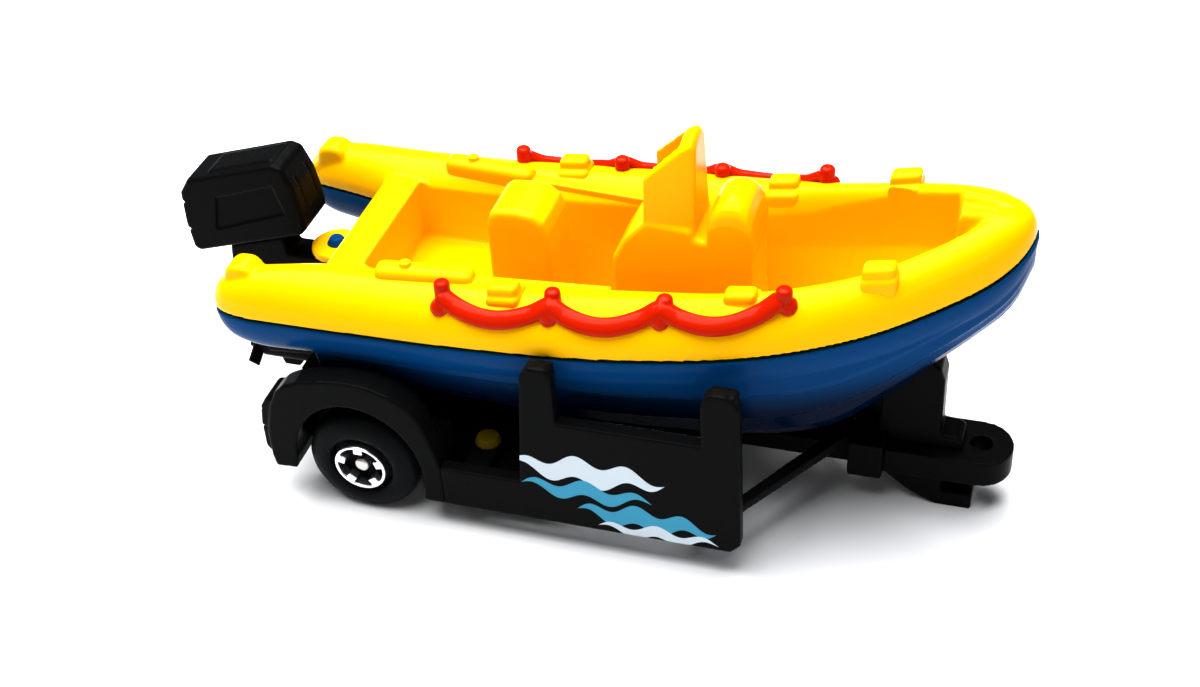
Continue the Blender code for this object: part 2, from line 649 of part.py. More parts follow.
def build_propeller(material, collection):
    propeller = add_mesh("propeller", rod(0.7, (-16.6, 0, 4.9), (-18.2, 0, 4.9), 16, 0.45), material, collection)
    for blade in range(3):
        fan = bmesh.new()
        bmesh.ops.create_cube(fan, size=1.0)
        bmesh.ops.scale(fan, vec=Vector((0.35, 1.3, 1.9)) * MM, verts=fan.verts)
        bmesh.ops.rotate(fan, matrix=Matrix.Rotation(math.radians(28.0), 3, "Z"), verts=fan.verts)
        bmesh.ops.translate(fan, vec=Vector((0, 0, 1.25)) * MM, verts=fan.verts)
        bmesh.ops.rotate(fan, matrix=Matrix.Rotation(math.radians(120.0 * blade), 3, "X"), verts=fan.verts)
        bmesh.ops.translate(fan, vec=place(-17.3, 0, 4.9), verts=fan.verts)
        combine(propeller, add_tool(f"blade_{blade}", fan), "UNION")
    return propeller


# Trailer

ARCH_INNER = (6.15, 7.1)
GUARD_FRONT = 7.95
# Outer edge of a mudguard, bow to stern over the wheel.
GUARD_RIDGE = ((7.95, 2.65), (7.95, 6.9), (7.5, 8.7), (7.05, 10.3), (6.6, 11.7), (5.9, 12.9), (5.1, 13.6), (4.0, 14.3),
               (2.0, 15.0), (0.0, 15.15), (-2.5, 14.9), (-4.9, 14.3), (-6.3, 13.6), (-7.1, 12.8), (-7.9, 11.0),
               (-8.4, 9.0), (-8.65, 7.4), (-8.7, 5.05), (-8.5, 3.85), (-6.45, 3.95))
LAMP_SIDE = ((-7.0, 11.9), (-8.1, 11.6), (-8.8, 9.4), (-9.0, 7.6), (-9.0, 5.4), (-8.0, 5.4))
LAMP_SPAN = (11.4, 14.9)
LAMP_GROOVES = (10.6, 8.4)
MUDGUARD_INNER_Y = 10.7


def build_mudguard(name, side, material, collection, clearances):
    inner = arc(0, WHEEL_RADIUS, *ARCH_INNER, 180, 0, 14)
    y0, y1 = sorted((side * MUDGUARD_INNER_Y, side * SIDE_OUTER_Y))
    guard = add_mesh(name, side_prism([*GUARD_RIDGE, *inner, (6.0, RAIL_BOTTOM)], y0, y1), material, collection)
    y2, y3 = sorted((side * LAMP_SPAN[0], side * LAMP_SPAN[1]))
    combine(guard, add_tool(name + "_lamp", side_prism(LAMP_SIDE, y2, y3)), "UNION")
    for number, z in enumerate(LAMP_GROOVES):
        groove = add_tool(f"{name}_groove_{number}", box(-10.0, -8.55, y2 - 0.5, y3 + 0.5, z - 0.12, z + 0.12))
        combine(guard, groove, "DIFFERENCE")
    for clearance in clearances:
        combine(guard, clearance, "DIFFERENCE")
    return guard


def build_side_panel(name, side, material, collection):
    outline = ((GUARD_FRONT, RAIL_BOTTOM), (34.2, RAIL_BOTTOM), (35.1, 3.6), (35.1, 18.8), (34.5, 19.7), (33.8, UPRIGHT_TOP),
               (32.9, UPRIGHT_TOP), (32.1, 19.6), (31.8, 18.6), (31.8, PANEL_TOP), (19.2, PANEL_TOP), (19.2, 19.2),
               (18.7, UPRIGHT_TOP), (17.2, UPRIGHT_TOP), (16.4, 19.0), (15.4, RAIL_TOP), (GUARD_FRONT, RAIL_TOP))
    y0, y1 = sorted((side * (SIDE_OUTER_Y - SIDE_THICKNESS), side * SIDE_OUTER_Y))
    panel = add_mesh(name, side_prism(outline, y0, y1), material, collection)
    for number, (x0, x1) in enumerate(((16.8, 19.05), (32.35, 34.8))):
        y2, y3 = sorted((side * CAP_INNER_Y, side * (SIDE_OUTER_Y - 0.3)))
        cap = add_tool(f"{name}_cap_{number}", box(x0, x1, y2, y3, 17.6, UPRIGHT_TOP - 0.15))
        round_edges(cap, 0.3)
        combine(panel, cap, "UNION")
    return panel


def build_chassis(material, collection, hull_clear):
    inner_face = SIDE_OUTER_Y - SIDE_THICKNESS
    chassis = add_mesh("chassis", box(-1.9, 1.9, -9.6, 9.6, 3.4, 6.8), material, collection)
    beams = ((-6.6, -3.4, MUDGUARD_INNER_Y, 3.6, 12.2), (9.0, 11.4, inner_face, 3.0, 5.4),
             (29.6, 32.0, inner_face, 3.0, 6.4))
    for number, (x0, x1, half, low, high) in enumerate(beams):
        beam = add_tool(f"cross_beam_{number}", box(x0, x1, -half, half, low, high))
        combine(chassis, beam, "UNION")
    spine = add_tool("spine", box(-4.0, 44.0, -2.0, 2.0, 3.2, 5.2))
    combine(chassis, spine, "UNION")
    for side in (-1, 1):
        arm = plan_prism(((33.5, side * inner_face), (34.6, side * inner_face), (43.4, side * 0.5),
                          (41.7, side * 0.5)), 5.9, 6.9)
        combine(chassis, add_tool(f"frame_arm_{side}", arm), "UNION")
    block = add_tool("hitch_block", box(*HITCH_BLOCK))
    combine(chassis, block, "UNION")
    hub = add_tool("axle_hole", rod(AXLE_RADIUS + RUNNING_GAP, (0, -12, WHEEL_RADIUS), (0, 12, WHEEL_RADIUS)))
    combine(chassis, hub, "DIFFERENCE")
    notch = add_tool("motor_notch", box(-8.0, -5.0, -2.2, 2.2, 2.0, 14.0))
    combine(chassis, notch, "DIFFERENCE")
    combine(chassis, hull_clear, "DIFFERENCE")
    return chassis


def build_drawbar(material, collection):
    plate = [(45.2, -2.9)] + [(HITCH_HOLE_X + dx, dy) for dx, dy in arc(0, 0, 2.8, 2.9, -90, 90, 16)] + [(45.2, 2.9)]
    drawbar = add_mesh("drawbar", plan_prism(plate, 3.4, 6.0), material, collection)
    neck = side_prism(((45.2, 3.0), (45.2, 4.5), (50.3, 4.5), (50.3, 1.5), (53.1, 1.5), (53.1, 0.0), (49.8, 0.0),
                       (47.4, 1.2)), -2.3, 2.3)
    combine(drawbar, add_tool("hook_tab", neck), "UNION")
    hole = add_tool("hitch_hole", rod(0.95, (HITCH_HOLE_X, 0, 2.0), (HITCH_HOLE_X, 0, 8.0), 24))
    combine(drawbar, hole, "DIFFERENCE")
    return drawbar


def build_bow_post(material, collection, hull_clear):
    outline = ((44.4, 6.9), (45.2, 6.9), (45.2, 6.0), (51.9, 6.0), (51.9, 6.9), (51.3, 7.3), (49.9, 7.4),
               (49.9, 13.4), (49.5, 14.6), (48.7, 15.4), (47.6, 15.7), (44.6, 14.0))
    post = add_mesh("bow_post", side_prism(outline, -1.5, 1.5), material, collection)
    round_edges(post, 0.25)
    x0, x1, y0, y1, z0, z1 = HITCH_BLOCK
    block_clear = add_tool("block_clearance", box(x0, x1 + SEAT_GAP, y0, y1, z0, z1 + SEAT_GAP))
    combine(post, block_clear, "DIFFERENCE")
    combine(post, hull_clear, "DIFFERENCE")
    return post


# Wheels

def lathe(name, profile, y_of, side, material, collection, steps=36):
    """Solid turned about the axle from (radius, distance inward from the wheel's face) rows."""
    rings = []
    for k in range(steps):
        turn = 2.0 * math.pi * k / steps
        rings.append([place(r * math.cos(turn), side * y_of(d), WHEEL_RADIUS + r * math.sin(turn))
                      for r, d in profile])
    bm = bmesh.new()
    rows = [[bm.verts.new(point) for point in ring] for ring in rings]
    count = len(profile)
    for a in range(steps):
        b = (a + 1) % steps
        for i in range(count):
            j = (i + 1) % count
            bm.faces.new((rows[a][i], rows[a][j], rows[b][j], rows[b][i]))
    bmesh.ops.recalc_face_normals(bm, faces=bm.faces[:])
    return add_mesh(name, bm, material, collection)


WHEEL_BORE = AXLE_RADIUS + RUNNING_GAP
WHEEL_PROFILE = ((WHEEL_BORE, 0.9), (2.95, 0.9), (3.05, -0.15), (3.5, -0.3), (4.3, -0.15), (4.9, 0.15), (5.2, 0.55),
                 (5.25, 0.9), (5.25, 2.5), (5.1, 3.0), (4.7, 3.3), (WHEEL_BORE, 3.3))
TRIM_PROFILE = ((2.1, -0.4), (2.15, -0.48), (2.4, -0.48), (2.45, -0.4), (2.45, 0.9), (2.1, 0.9))
TRIM_TOOTH = (0.75, 1.2, 0.8)
TRIM_TOOTH_RADIUS = 1.85


def build_wheel(name, side, material, collection):
    wheel = lathe(name, WHEEL_PROFILE, lambda d: WHEEL_OUTER_Y - d, side, material, collection)
    shade_round(wheel)
    return wheel


def build_trim(name, side, material, collection):
    trim = lathe(name, TRIM_PROFILE, lambda d: WHEEL_OUTER_Y - d, side, material, collection)
    for tooth in range(5):
        nub = bmesh.new()
        bmesh.ops.create_cube(nub, size=1.0)
        bmesh.ops.scale(nub, vec=Vector(TRIM_TOOTH) * MM, verts=nub.verts)
        bmesh.ops.translate(nub, vec=Vector((TRIM_TOOTH_RADIUS, 0, 0)) * MM, verts=nub.verts)
        bmesh.ops.rotate(nub, matrix=Matrix.Rotation(math.radians(90 + 72.0 * tooth), 3, "Y"), verts=nub.verts)
        bmesh.ops.translate(nub, vec=place(0, side * (WHEEL_OUTER_Y - 0.3), WHEEL_RADIUS), verts=nub.verts)
        combine(trim, add_tool(f"{name}_tooth_{tooth}", nub), "UNION")
    return trim


def build_axle(material, collection):
    reach = WHEEL_OUTER_Y - 0.5
    return add_mesh("axle", rod(AXLE_RADIUS, (0, -reach, WHEEL_RADIUS), (0, reach, WHEEL_RADIUS)), material, collection)


def build_stud(name, side, material, collection):
    return add_mesh(name, rod(1.25, (10.2, side * 9.1, 5.4), (10.2, side * 9.1, 6.0), 24, 1.0), material, collection)


def build_all():
    clear_scene()
    toy = make_collection("rescue_boat_on_trailer")
    make_collection("cutters")
    yellow = make_material("yellow_plastic", (1.0, 0.80, 0.0), 0.32)
    blue = make_material("blue_plastic", (0.02, 0.085, 0.34), 0.22)
    red = make_material("red_paint", (0.80, 0.03, 0.01), 0.25)
    black = make_material("black_plastic", (0.012, 0.012, 0.014), 0.42)
    tyre = make_material("tyre_rubber", (0.02, 0.02, 0.021), 0.55)
    chrome = make_material("chrome_trim", (0.85, 0.85, 0.87), 0.12, 1.0)
    steel = make_material("steel_axle", (0.55, 0.55, 0.56), 0.35, 1.0)

    collar_clear = add_tool("collar_clearance", collar_half(grow=0.06))
    mirror_side(collar_clear)
    hull_clear = add_tool("hull_clearance", hull_half())
    hull_clear.location.z = -0.15 * MM
    mirror_side(hull_clear)

    chine_clear = add_tool("chine_clearance", collar_half(below=True, grow=0.2))
    mirror_side(chine_clear)

    build_deck(yellow, toy)
    build_aft_seat(yellow, toy)
    build_console(yellow, toy)
    build_hull(blue, toy)
    build_pivot_pin(blue, toy)
    build_cowl(black, toy)
    build_leg(black, toy)
    build_propeller(black, toy)
    build_chassis(black, toy, hull_clear)
    build_drawbar(black, toy)
    build_bow_post(black, toy, hull_clear)
    build_axle(steel, toy)
    for side_name, side in (("port", 1), ("starboard", -1)):
        build_grab_line(f"grab_line_{side_name}", side, red, toy, collar_clear)
        build_mudguard(f"mudguard_{side_name}", side, black, toy, (chine_clear, hull_clear))
        build_side_panel(f"side_panel_{side_name}", side, black, toy)
        build_wheel(f"wheel_{side_name}", side, tyre, toy)
        build_trim(f"hub_trim_{side_name}", side, chrome, toy)
        build_stud(f"deck_stud_{side_name}", side, yellow, toy)


build_all()
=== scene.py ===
# %% [markdown]
# A pocket toy: a yellow and blue rescue boat that sits on a black two-wheeled launching trailer.
# The measured solids come first, and every moulded piece is then made again with soft edges,
# because injection-moulded plastic has no sharp corner anywhere. Lengths in the tables are in
# millimetres: x forward from the wheel axle, y to port, z up from the floor. A name that ends
# in HALF is measured from the middle plane, because the toy is the same on both sides.

# %% Frame and constants
import math

import bmesh
import bpy
from mathutils import Matrix, Vector


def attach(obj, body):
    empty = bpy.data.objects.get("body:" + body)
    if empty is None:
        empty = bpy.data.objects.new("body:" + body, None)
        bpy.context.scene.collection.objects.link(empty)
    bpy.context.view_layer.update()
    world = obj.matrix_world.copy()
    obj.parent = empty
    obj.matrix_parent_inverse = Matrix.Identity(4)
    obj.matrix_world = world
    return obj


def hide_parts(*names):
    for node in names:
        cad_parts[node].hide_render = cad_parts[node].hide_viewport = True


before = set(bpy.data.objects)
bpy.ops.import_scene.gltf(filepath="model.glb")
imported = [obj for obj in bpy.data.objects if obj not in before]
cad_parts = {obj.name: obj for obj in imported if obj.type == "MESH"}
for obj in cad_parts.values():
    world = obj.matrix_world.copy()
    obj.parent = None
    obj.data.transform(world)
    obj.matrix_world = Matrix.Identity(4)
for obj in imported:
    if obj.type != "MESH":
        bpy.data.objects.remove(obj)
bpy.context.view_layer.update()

MM = 0.001
AXLE_X = -17.725
SIDES = (("port", 1), ("starboard", -1))


def place(x, y, z):
    """Millimetres from the axle to metres in the frame of the solids."""
    return Vector(((x + AXLE_X) * MM, y * MM, z * MM))


# %% [markdown]
# The camera stands where the photograph was taken: off the starboard bow, looking down at a
# little under forty degrees, with the horizon tilted by four. It was worked out from points
# whose places on the toy are known, and is made first so that everything can be judged in it.

# %% Camera
CAMERA_AT = (58.93, -114.8, 107.8)
CAMERA_TURN = math.radians(19.43)
CAMERA_DOWN = math.radians(38.47)
CAMERA_ROLL = math.radians(-4.20)
LENS_MM = 50.82


def make_camera():
    forward = Vector((-math.sin(CAMERA_TURN) * math.cos(CAMERA_DOWN),
                      math.cos(CAMERA_TURN) * math.cos(CAMERA_DOWN), -math.sin(CAMERA_DOWN)))
    level_right = Vector((math.cos(CAMERA_TURN), math.sin(CAMERA_TURN), 0.0))
    level_up = level_right.cross(forward)
    right = level_right * math.cos(CAMERA_ROLL) + level_up * math.sin(CAMERA_ROLL)
    up = level_up * math.cos(CAMERA_ROLL) - level_right * math.sin(CAMERA_ROLL)
    data = bpy.data.cameras.new("photo_camera")
    data.lens = LENS_MM
    data.sensor_width = 36.0
    data.clip_start = 0.005
    data.clip_end = 5.0
    camera = bpy.data.objects.new("photo_camera", data)
    bpy.context.scene.collection.objects.link(camera)
    turn = Matrix((right, up, -forward)).transposed().to_4x4()
    camera.matrix_world = Matrix.Translation(place(*CAMERA_AT)) @ turn
    bpy.context.scene.camera = camera
    return camera


make_camera()
print("camera ready")

# %% [markdown]
# High-key table-top light: a white sheet under the toy, a broad soft panel above it and a long,
# narrow strip ahead of the bow, whose reflection draws a fine bright line along the hull. The
# room itself gives almost no light, so what lies under the boat stays black. Colours are shown
# without a film curve, which keeps the yellow pure, and a gamma a little under one deepens the
# shaded sides as the photograph does.

# %% Floor, lights and background
FLOOR_HALF = 900.0
ROOM_STRENGTH = 0.08
VIEW_GAMMA = 0.85


def make_floor():
    bm = bmesh.new()
    bmesh.ops.create_grid(bm, x_segments=1, y_segments=1, size=FLOOR_HALF * MM)
    mesh = bpy.data.meshes.new("floor")
    bm.to_mesh(mesh)
    bm.free()
    floor = bpy.data.objects.new("floor", mesh)
    bpy.context.scene.collection.objects.link(floor)
    material = bpy.data.materials.new("white_sheet")
    material.use_nodes = True
    shader = material.node_tree.nodes["Principled BSDF"]
    shader.inputs["Base Color"].default_value = (0.93, 0.935, 0.95, 1.0)
    shader.inputs["Roughness"].default_value = 0.6
    shader.inputs["Specular IOR Level"].default_value = 0.2
    mesh.materials.append(material)
    return floor


def make_panel(name, at, aim, size, energy):
    data = bpy.data.lights.new(name, "AREA")
    data.shape = "RECTANGLE"
    data.size, data.size_y = size[0] * MM, size[1] * MM
    data.energy = energy
    lamp = bpy.data.objects.new(name, data)
    bpy.context.scene.collection.objects.link(lamp)
    direction = (Vector(aim) - Vector(at)).normalized()
    turn = direction.to_track_quat("-Z", "Y").to_matrix().to_4x4()
    lamp.matrix_world = Matrix.Translation(place(*at)) @ turn
    return lamp


make_floor()
make_panel("top_panel", at=(-50, 50, 410), aim=(17, 0, 15), size=(480, 480), energy=6.0)
make_panel("glint_strip", at=(255, -310, 150), aim=(45, -8, 26), size=(280, 14), energy=0.16)
world = bpy.data.worlds.new("white_room")
world.use_nodes = True
room = world.node_tree.nodes["Background"]
room.inputs["Color"].default_value = (1.0, 1.0, 1.0, 1.0)
room.inputs["Strength"].default_value = ROOM_STRENGTH
bpy.context.scene.world = world
view = bpy.context.scene.view_settings
view.view_transform = "Standard"
view.look = "None"
view.gamma = VIEW_GAMMA
print("floor and lights ready")

# %% [markdown]
# Moulded plastic is never one flat tone. A shared effect gives every finish a faint ripple in
# the surface and small changes of gloss, both in millimetre scale, so it is built once as a
# node group and placed in each material with its own amounts.

# %% Shared surface effect
CLOUD_SCALE = 260.0


def make_skin_effect():
    group = bpy.data.node_groups.new("moulded_skin", "ShaderNodeTree")
    face = group.interface
    face.new_socket(name="Roughness", in_out="INPUT", socket_type="NodeSocketFloat")
    face.new_socket(name="Variation", in_out="INPUT", socket_type="NodeSocketFloat")
    face.new_socket(name="Grain scale", in_out="INPUT", socket_type="NodeSocketFloat")
    face.new_socket(name="Roughness", in_out="OUTPUT", socket_type="NodeSocketFloat")
    face.new_socket(name="Height", in_out="OUTPUT", socket_type="NodeSocketFloat")
    nodes, links = group.nodes, group.links
    entry = nodes.new("NodeGroupInput")
    leave = nodes.new("NodeGroupOutput")
    where = nodes.new("ShaderNodeTexCoord")
    cloudy = nodes.new("ShaderNodeTexNoise")
    cloudy.inputs["Scale"].default_value = CLOUD_SCALE
    cloudy.inputs["Detail"].default_value = 3.0
    grain = nodes.new("ShaderNodeTexNoise")
    grain.inputs["Detail"].default_value = 2.0
    links.new(where.outputs["Object"], cloudy.inputs["Vector"])
    links.new(where.outputs["Object"], grain.inputs["Vector"])
    links.new(entry.outputs["Grain scale"], grain.inputs["Scale"])
    centred = nodes.new("ShaderNodeMath")
    centred.operation = "SUBTRACT"
    centred.inputs[1].default_value = 0.5
    links.new(cloudy.outputs["Fac"], centred.inputs[0])
    spread = nodes.new("ShaderNodeMath")
    spread.operation = "MULTIPLY_ADD"
    links.new(centred.outputs[0], spread.inputs[0])
    links.new(entry.outputs["Variation"], spread.inputs[1])
    links.new(entry.outputs["Roughness"], spread.inputs[2])
    links.new(spread.outputs[0], leave.inputs["Roughness"])
    links.new(grain.outputs["Fac"], leave.inputs["Height"])
    return group


skin_effect = make_skin_effect()
print("effect:", skin_effect.name)

# %% [markdown]
# Each finish is one material: yellow and blue gloss, red enamel, satin black, the duller
# black of the tyres, bright foil and plain wire. Two more paint shade: a darkened yellow for the
# studs, which sit in the boat's shadow, and a near-black for the rib in the open seam. All read
# Object coordinates, because every piece keeps its place in its mesh. The gloss is kept low on
# the dark finishes, which would turn grey.

# %% Materials
BLACK_TONE = (0.0048, 0.0050, 0.0054)
RIPPLE_DEPTH = 0.2


def make_finish(name, colour, roughness, variation, grain, ripple, metallic=0.0, gloss=0.5,
                sheen=(1.0, 1.0, 1.0)):
    material = bpy.data.materials.new(name)
    material.use_nodes = True
    nodes, links = material.node_tree.nodes, material.node_tree.links
    shader = nodes["Principled BSDF"]
    shader.inputs["Base Color"].default_value = (*colour, 1.0)
    shader.inputs["Metallic"].default_value = metallic
    shader.inputs["Specular IOR Level"].default_value = gloss
    shader.inputs["Specular Tint"].default_value = (*sheen, 1.0)
    effect = nodes.new("ShaderNodeGroup")
    effect.node_tree = skin_effect
    effect.inputs["Roughness"].default_value = roughness
    effect.inputs["Variation"].default_value = variation
    effect.inputs["Grain scale"].default_value = grain
    bump = nodes.new("ShaderNodeBump")
    bump.inputs["Strength"].default_value = ripple
    bump.inputs["Distance"].default_value = RIPPLE_DEPTH * MM
    links.new(effect.outputs["Roughness"], shader.inputs["Roughness"])
    links.new(effect.outputs["Height"], bump.inputs["Height"])
    links.new(bump.outputs["Normal"], shader.inputs["Normal"])
    return material


yellow = make_finish("yellow_gloss", (0.98, 0.53, 0.0), 0.24, 0.12, 700.0, 0.05, gloss=0.2,
                     sheen=(1.0, 0.8, 0.2))
blue = make_finish("blue_gloss", (0.0012, 0.042, 0.150), 0.20, 0.10, 600.0, 0.05, gloss=0.03)
red = make_finish("red_enamel", (0.50, 0.016, 0.001), 0.18, 0.10, 800.0, 0.10, gloss=0.15,
                  sheen=(1.0, 0.6, 0.5))
black = make_finish("black_satin", BLACK_TONE, 0.30, 0.14, 1500.0, 0.12, gloss=0.03)
tyre = make_finish("tyre_black", (0.0062, 0.0072, 0.0078), 0.42, 0.10, 1500.0, 0.10, gloss=0.04)
# The studs' yellow is darkened: painted shade for the shadow of the boat over them.
stud_yellow_painted_shade = make_finish("stud_yellow_painted_shade", (0.20, 0.14, 0.005), 0.40, 0.12, 700.0, 0.05, gloss=0.1)
foil = make_finish("bright_foil", (0.90, 0.90, 0.92), 0.28, 0.05, 1500.0, 0.02, metallic=1.0)
wire = make_finish("drawn_wire", (0.60, 0.57, 0.55), 0.38, 0.10, 1500.0, 0.05, metallic=1.0)
# Near-black for the rib in the open seam: painted shade.
seam_painted_shade = make_finish("seam_painted_shade", (0.004, 0.006, 0.012), 0.60, 0.05, 900.0, 0.02)

# %% [markdown]
# Each side board carries a printed design. A generic one stands in for it: four wave bands in
# white and sky blue, laid over the black by a mask that is worked out from the place on the
# board, so it needs no picture. The hull gets a second mask of the same kind, which paints
# shade: the blue is its own at the seam and is darkened towards the keel, because the belly
# faces down into the shadow under the boat. A share that grows downwards blends the two
# blues, and it follows the rise of the bow.

# %% Printed waves and the painted shade on the hull
BOARD_FACE_Y = 15.0


def math_node(tree, operation, *values):
    node = tree.nodes.new("ShaderNodeMath")
    node.operation = operation
    for socket, value in zip(node.inputs, values):
        if isinstance(value, (int, float)):
            socket.default_value = value
        else:
            tree.links.new(value, socket)
    return node.outputs[0]


def place_nodes(tree):
    """The place on the piece in millimetres from the axle, from the middle and from the floor."""
    where = tree.nodes.new("ShaderNodeTexCoord")
    split = tree.nodes.new("ShaderNodeSeparateXYZ")
    tree.links.new(where.outputs["Object"], split.inputs[0])
    forward = math_node(tree, "MULTIPLY_ADD", split.outputs["X"], 1 / MM, -AXLE_X)
    return forward, *(math_node(tree, "MULTIPLY", split.outputs[c], 1 / MM) for c in ("Y", "Z"))


def make_wave_effect():
    """Mask and colour of the print, band by band."""
    tree = bpy.data.node_groups.new("printed_waves", "ShaderNodeTree")
    tree.interface.new_socket(name="Mask", in_out="OUTPUT", socket_type="NodeSocketFloat")
    tree.interface.new_socket(name="Colour", in_out="OUTPUT", socket_type="NodeSocketColor")
    leave = tree.nodes.new("NodeGroupOutput")
    along_board, across, up = place_nodes(tree)
    out = math_node(tree, "ABSOLUTE", across)
    total, colour = 0.0, None
    for first, last, base, slope, height, length, thick, tint in WAVES:
        run = math_node(tree, "SUBTRACT", along_board, first)
        turn = math_node(tree, "MULTIPLY", run, 2 * math.pi / length)
        crest = math_node(tree, "MULTIPLY_ADD", math_node(tree, "SINE", turn), height, base)
        middle = math_node(tree, "MULTIPLY_ADD", run, slope, crest)
        share = math_node(tree, "DIVIDE", run, last - first)
        rest = math_node(tree, "SUBTRACT", 1.0, share)
        swell = math_node(tree, "MULTIPLY", math_node(tree, "MULTIPLY", share, rest), 4.0)
        half = math_node(tree, "MULTIPLY", math_node(tree, "MAXIMUM", swell, 0.0), thick / 2)
        away = math_node(tree, "ABSOLUTE", math_node(tree, "SUBTRACT", up, middle))
        inside = math_node(tree, "LESS_THAN", away, half)
        total = math_node(tree, "MAXIMUM", total, inside)
        mix = tree.nodes.new("ShaderNodeMix")
        mix.data_type = "RGBA"
        tree.links.new(inside, mix.inputs["Factor"])
        if colour is None:
            mix.inputs[6].default_value = (0.0, 0.0, 0.0, 1.0)
        else:
            tree.links.new(colour, mix.inputs[6])
        mix.inputs[7].default_value = (*tint, 1.0)
        colour = mix.outputs[2]
    on_face = math_node(tree, "GREATER_THAN", out, BOARD_FACE_Y)
    tree.links.new(math_node(tree, "MULTIPLY", total, on_face), leave.inputs["Mask"])
    tree.links.new(colour, leave.inputs["Colour"])
    return tree


WHITE_INK, SKY_INK = (0.62, 0.70, 0.76), (0.07, 0.34, 0.50)
# First and last place, height on the board, slope, height and length of the wave, thickness, ink.
WAVES = ((14.9, 28.6, 9.3, 0.0, 0.55, 4.6, 2.5, WHITE_INK),
         (15.6, 27.4, 7.0, 0.0, 0.5, 4.6, 1.7, SKY_INK),
         (20.6, 33.0, 4.9, -0.02, 0.5, 4.2, 2.2, SKY_INK),
         (22.4, 33.2, 3.3, 0.0, 0.4, 4.2, 1.3, WHITE_INK))
# Height at which the painted shade on the blue is full and at which it is gone, and the bow's rise past
# BOW_RISE_X.
FULL_SHADE_Z, NO_SHADE_Z = 12.6, 17.2
BOW_RISE_X, BOW_RISE = 25.0, 0.0068


def make_board_finish():
    material = make_finish("board_black", BLACK_TONE, 0.30, 0.14, 1500.0, 0.12, gloss=0.03)
    nodes, links = material.node_tree.nodes, material.node_tree.links
    print_layer = nodes.new("ShaderNodeGroup")
    print_layer.node_tree = make_wave_effect()
    mix = nodes.new("ShaderNodeMix")
    mix.data_type = "RGBA"
    mix.inputs[6].default_value = (*BLACK_TONE, 1.0)
    links.new(print_layer.outputs["Mask"], mix.inputs["Factor"])
    links.new(print_layer.outputs["Colour"], mix.inputs[7])
    links.new(mix.outputs[2], nodes["Principled BSDF"].inputs["Base Color"])
    return material


def make_hull_painted_shade():
    """Share of the painted shade: none at the seam, full on the strakes near the keel."""
    tree = bpy.data.node_groups.new("hull_painted_shade", "ShaderNodeTree")
    tree.interface.new_socket(name="Depth", in_out="OUTPUT", socket_type="NodeSocketFloat")
    leave = tree.nodes.new("NodeGroupOutput")
    along_hull, _, up = place_nodes(tree)
    past = math_node(tree, "MAXIMUM", math_node(tree, "SUBTRACT", along_hull, BOW_RISE_X), 0.0)
    rise = math_node(tree, "MULTIPLY", math_node(tree, "MULTIPLY", past, past), BOW_RISE)
    height = math_node(tree, "SUBTRACT", up, rise)
    spread = tree.nodes.new("ShaderNodeMapRange")
    spread.interpolation_type = "SMOOTHSTEP"
    limits = {"From Min": FULL_SHADE_Z, "From Max": NO_SHADE_Z, "To Min": 1.0, "To Max": 0.0}
    for socket, value in limits.items():
        spread.inputs[socket].default_value = value
    tree.links.new(height, spread.inputs["Value"])
    tree.links.new(spread.outputs["Result"], leave.inputs["Depth"])
    return tree


def paint_hull_shade(material, unshaded_blue, shaded_blue):
    # Paints shade on the hull: its own blue at the seam, darkened towards the keel.
    nodes, links = material.node_tree.nodes, material.node_tree.links
    depth = nodes.new("ShaderNodeGroup")
    depth.node_tree = make_hull_painted_shade()
    mix = nodes.new("ShaderNodeMix")
    mix.data_type = "RGBA"
    mix.inputs[6].default_value = (*unshaded_blue, 1.0)
    mix.inputs[7].default_value = (*shaded_blue, 1.0)
    links.new(depth.outputs["Depth"], mix.inputs["Factor"])
    links.new(mix.outputs[2], nodes["Principled BSDF"].inputs["Base Color"])


board_black = make_board_finish()
# Painted shade on the hull: the blue darkens downwards, where the belly lies in the shadow under the boat.
paint_hull_shade(blue, unshaded_blue=(0.0018, 0.060, 0.190), shaded_blue=(0.0003, 0.006, 0.026))
print("waves:", len(WAVES))

# %% [markdown]
# Shapes start from a few operators. A lofted body grows ring by ring: the first ring is one
# face, and each next ring is that face extruded and moved into place. Plates are an outline
# that is extruded once, and bars are cones with equal ends.

# %% Shape helpers
def along(table, x, column=1):
    """Smooth value of one column of a table at the place x."""
    last = len(table) - 1
    if x <= table[0][0]:
        return table[0][column]
    if x >= table[last][0]:
        return table[last][column]
    i = max(k for k in range(last) if table[k][0] <= x)
    x0, x1 = table[i][0], table[i + 1][0]
    v0, v1 = table[i][column], table[i + 1][column]

    def slope(k):
        low, high = max(k - 1, 0), min(k + 1, last)
        return (table[high][column] - table[low][column]) / (table[high][0] - table[low][0])

    span = x1 - x0
    t = (x - x0) / span
    bend0, bend1 = slope(i) * span, slope(i + 1) * span
    return ((2 * t**3 - 3 * t**2 + 1) * v0 + (t**3 - 2 * t**2 + t) * bend0
            + (3 * t**2 - 2 * t**3) * v1 + (t**3 - t**2) * bend1)


def skin(rings):
    """Closed body through equal rings: one face, extruded and moved on to each next ring."""
    bm = bmesh.new()
    order = [bm.verts.new(point) for point in rings[0]]
    face = bm.faces.new(order)
    for number, ring in enumerate(rings[1:]):
        out = bmesh.ops.extrude_face_region(bm, geom=[face])["geom"]
        if number:
            bmesh.ops.delete(bm, geom=[face], context="FACES_ONLY")
        fresh = {part for part in out if isinstance(part, bmesh.types.BMVert)}
        face = next(part for part in out if isinstance(part, bmesh.types.BMFace))
        order = [next(edge.other_vert(vert) for edge in vert.link_edges if edge.other_vert(vert) in fresh)
                 for vert in order]
        for vert, point in zip(order, ring):
            vert.co = point
    bmesh.ops.recalc_face_normals(bm, faces=bm.faces[:])
    return bm


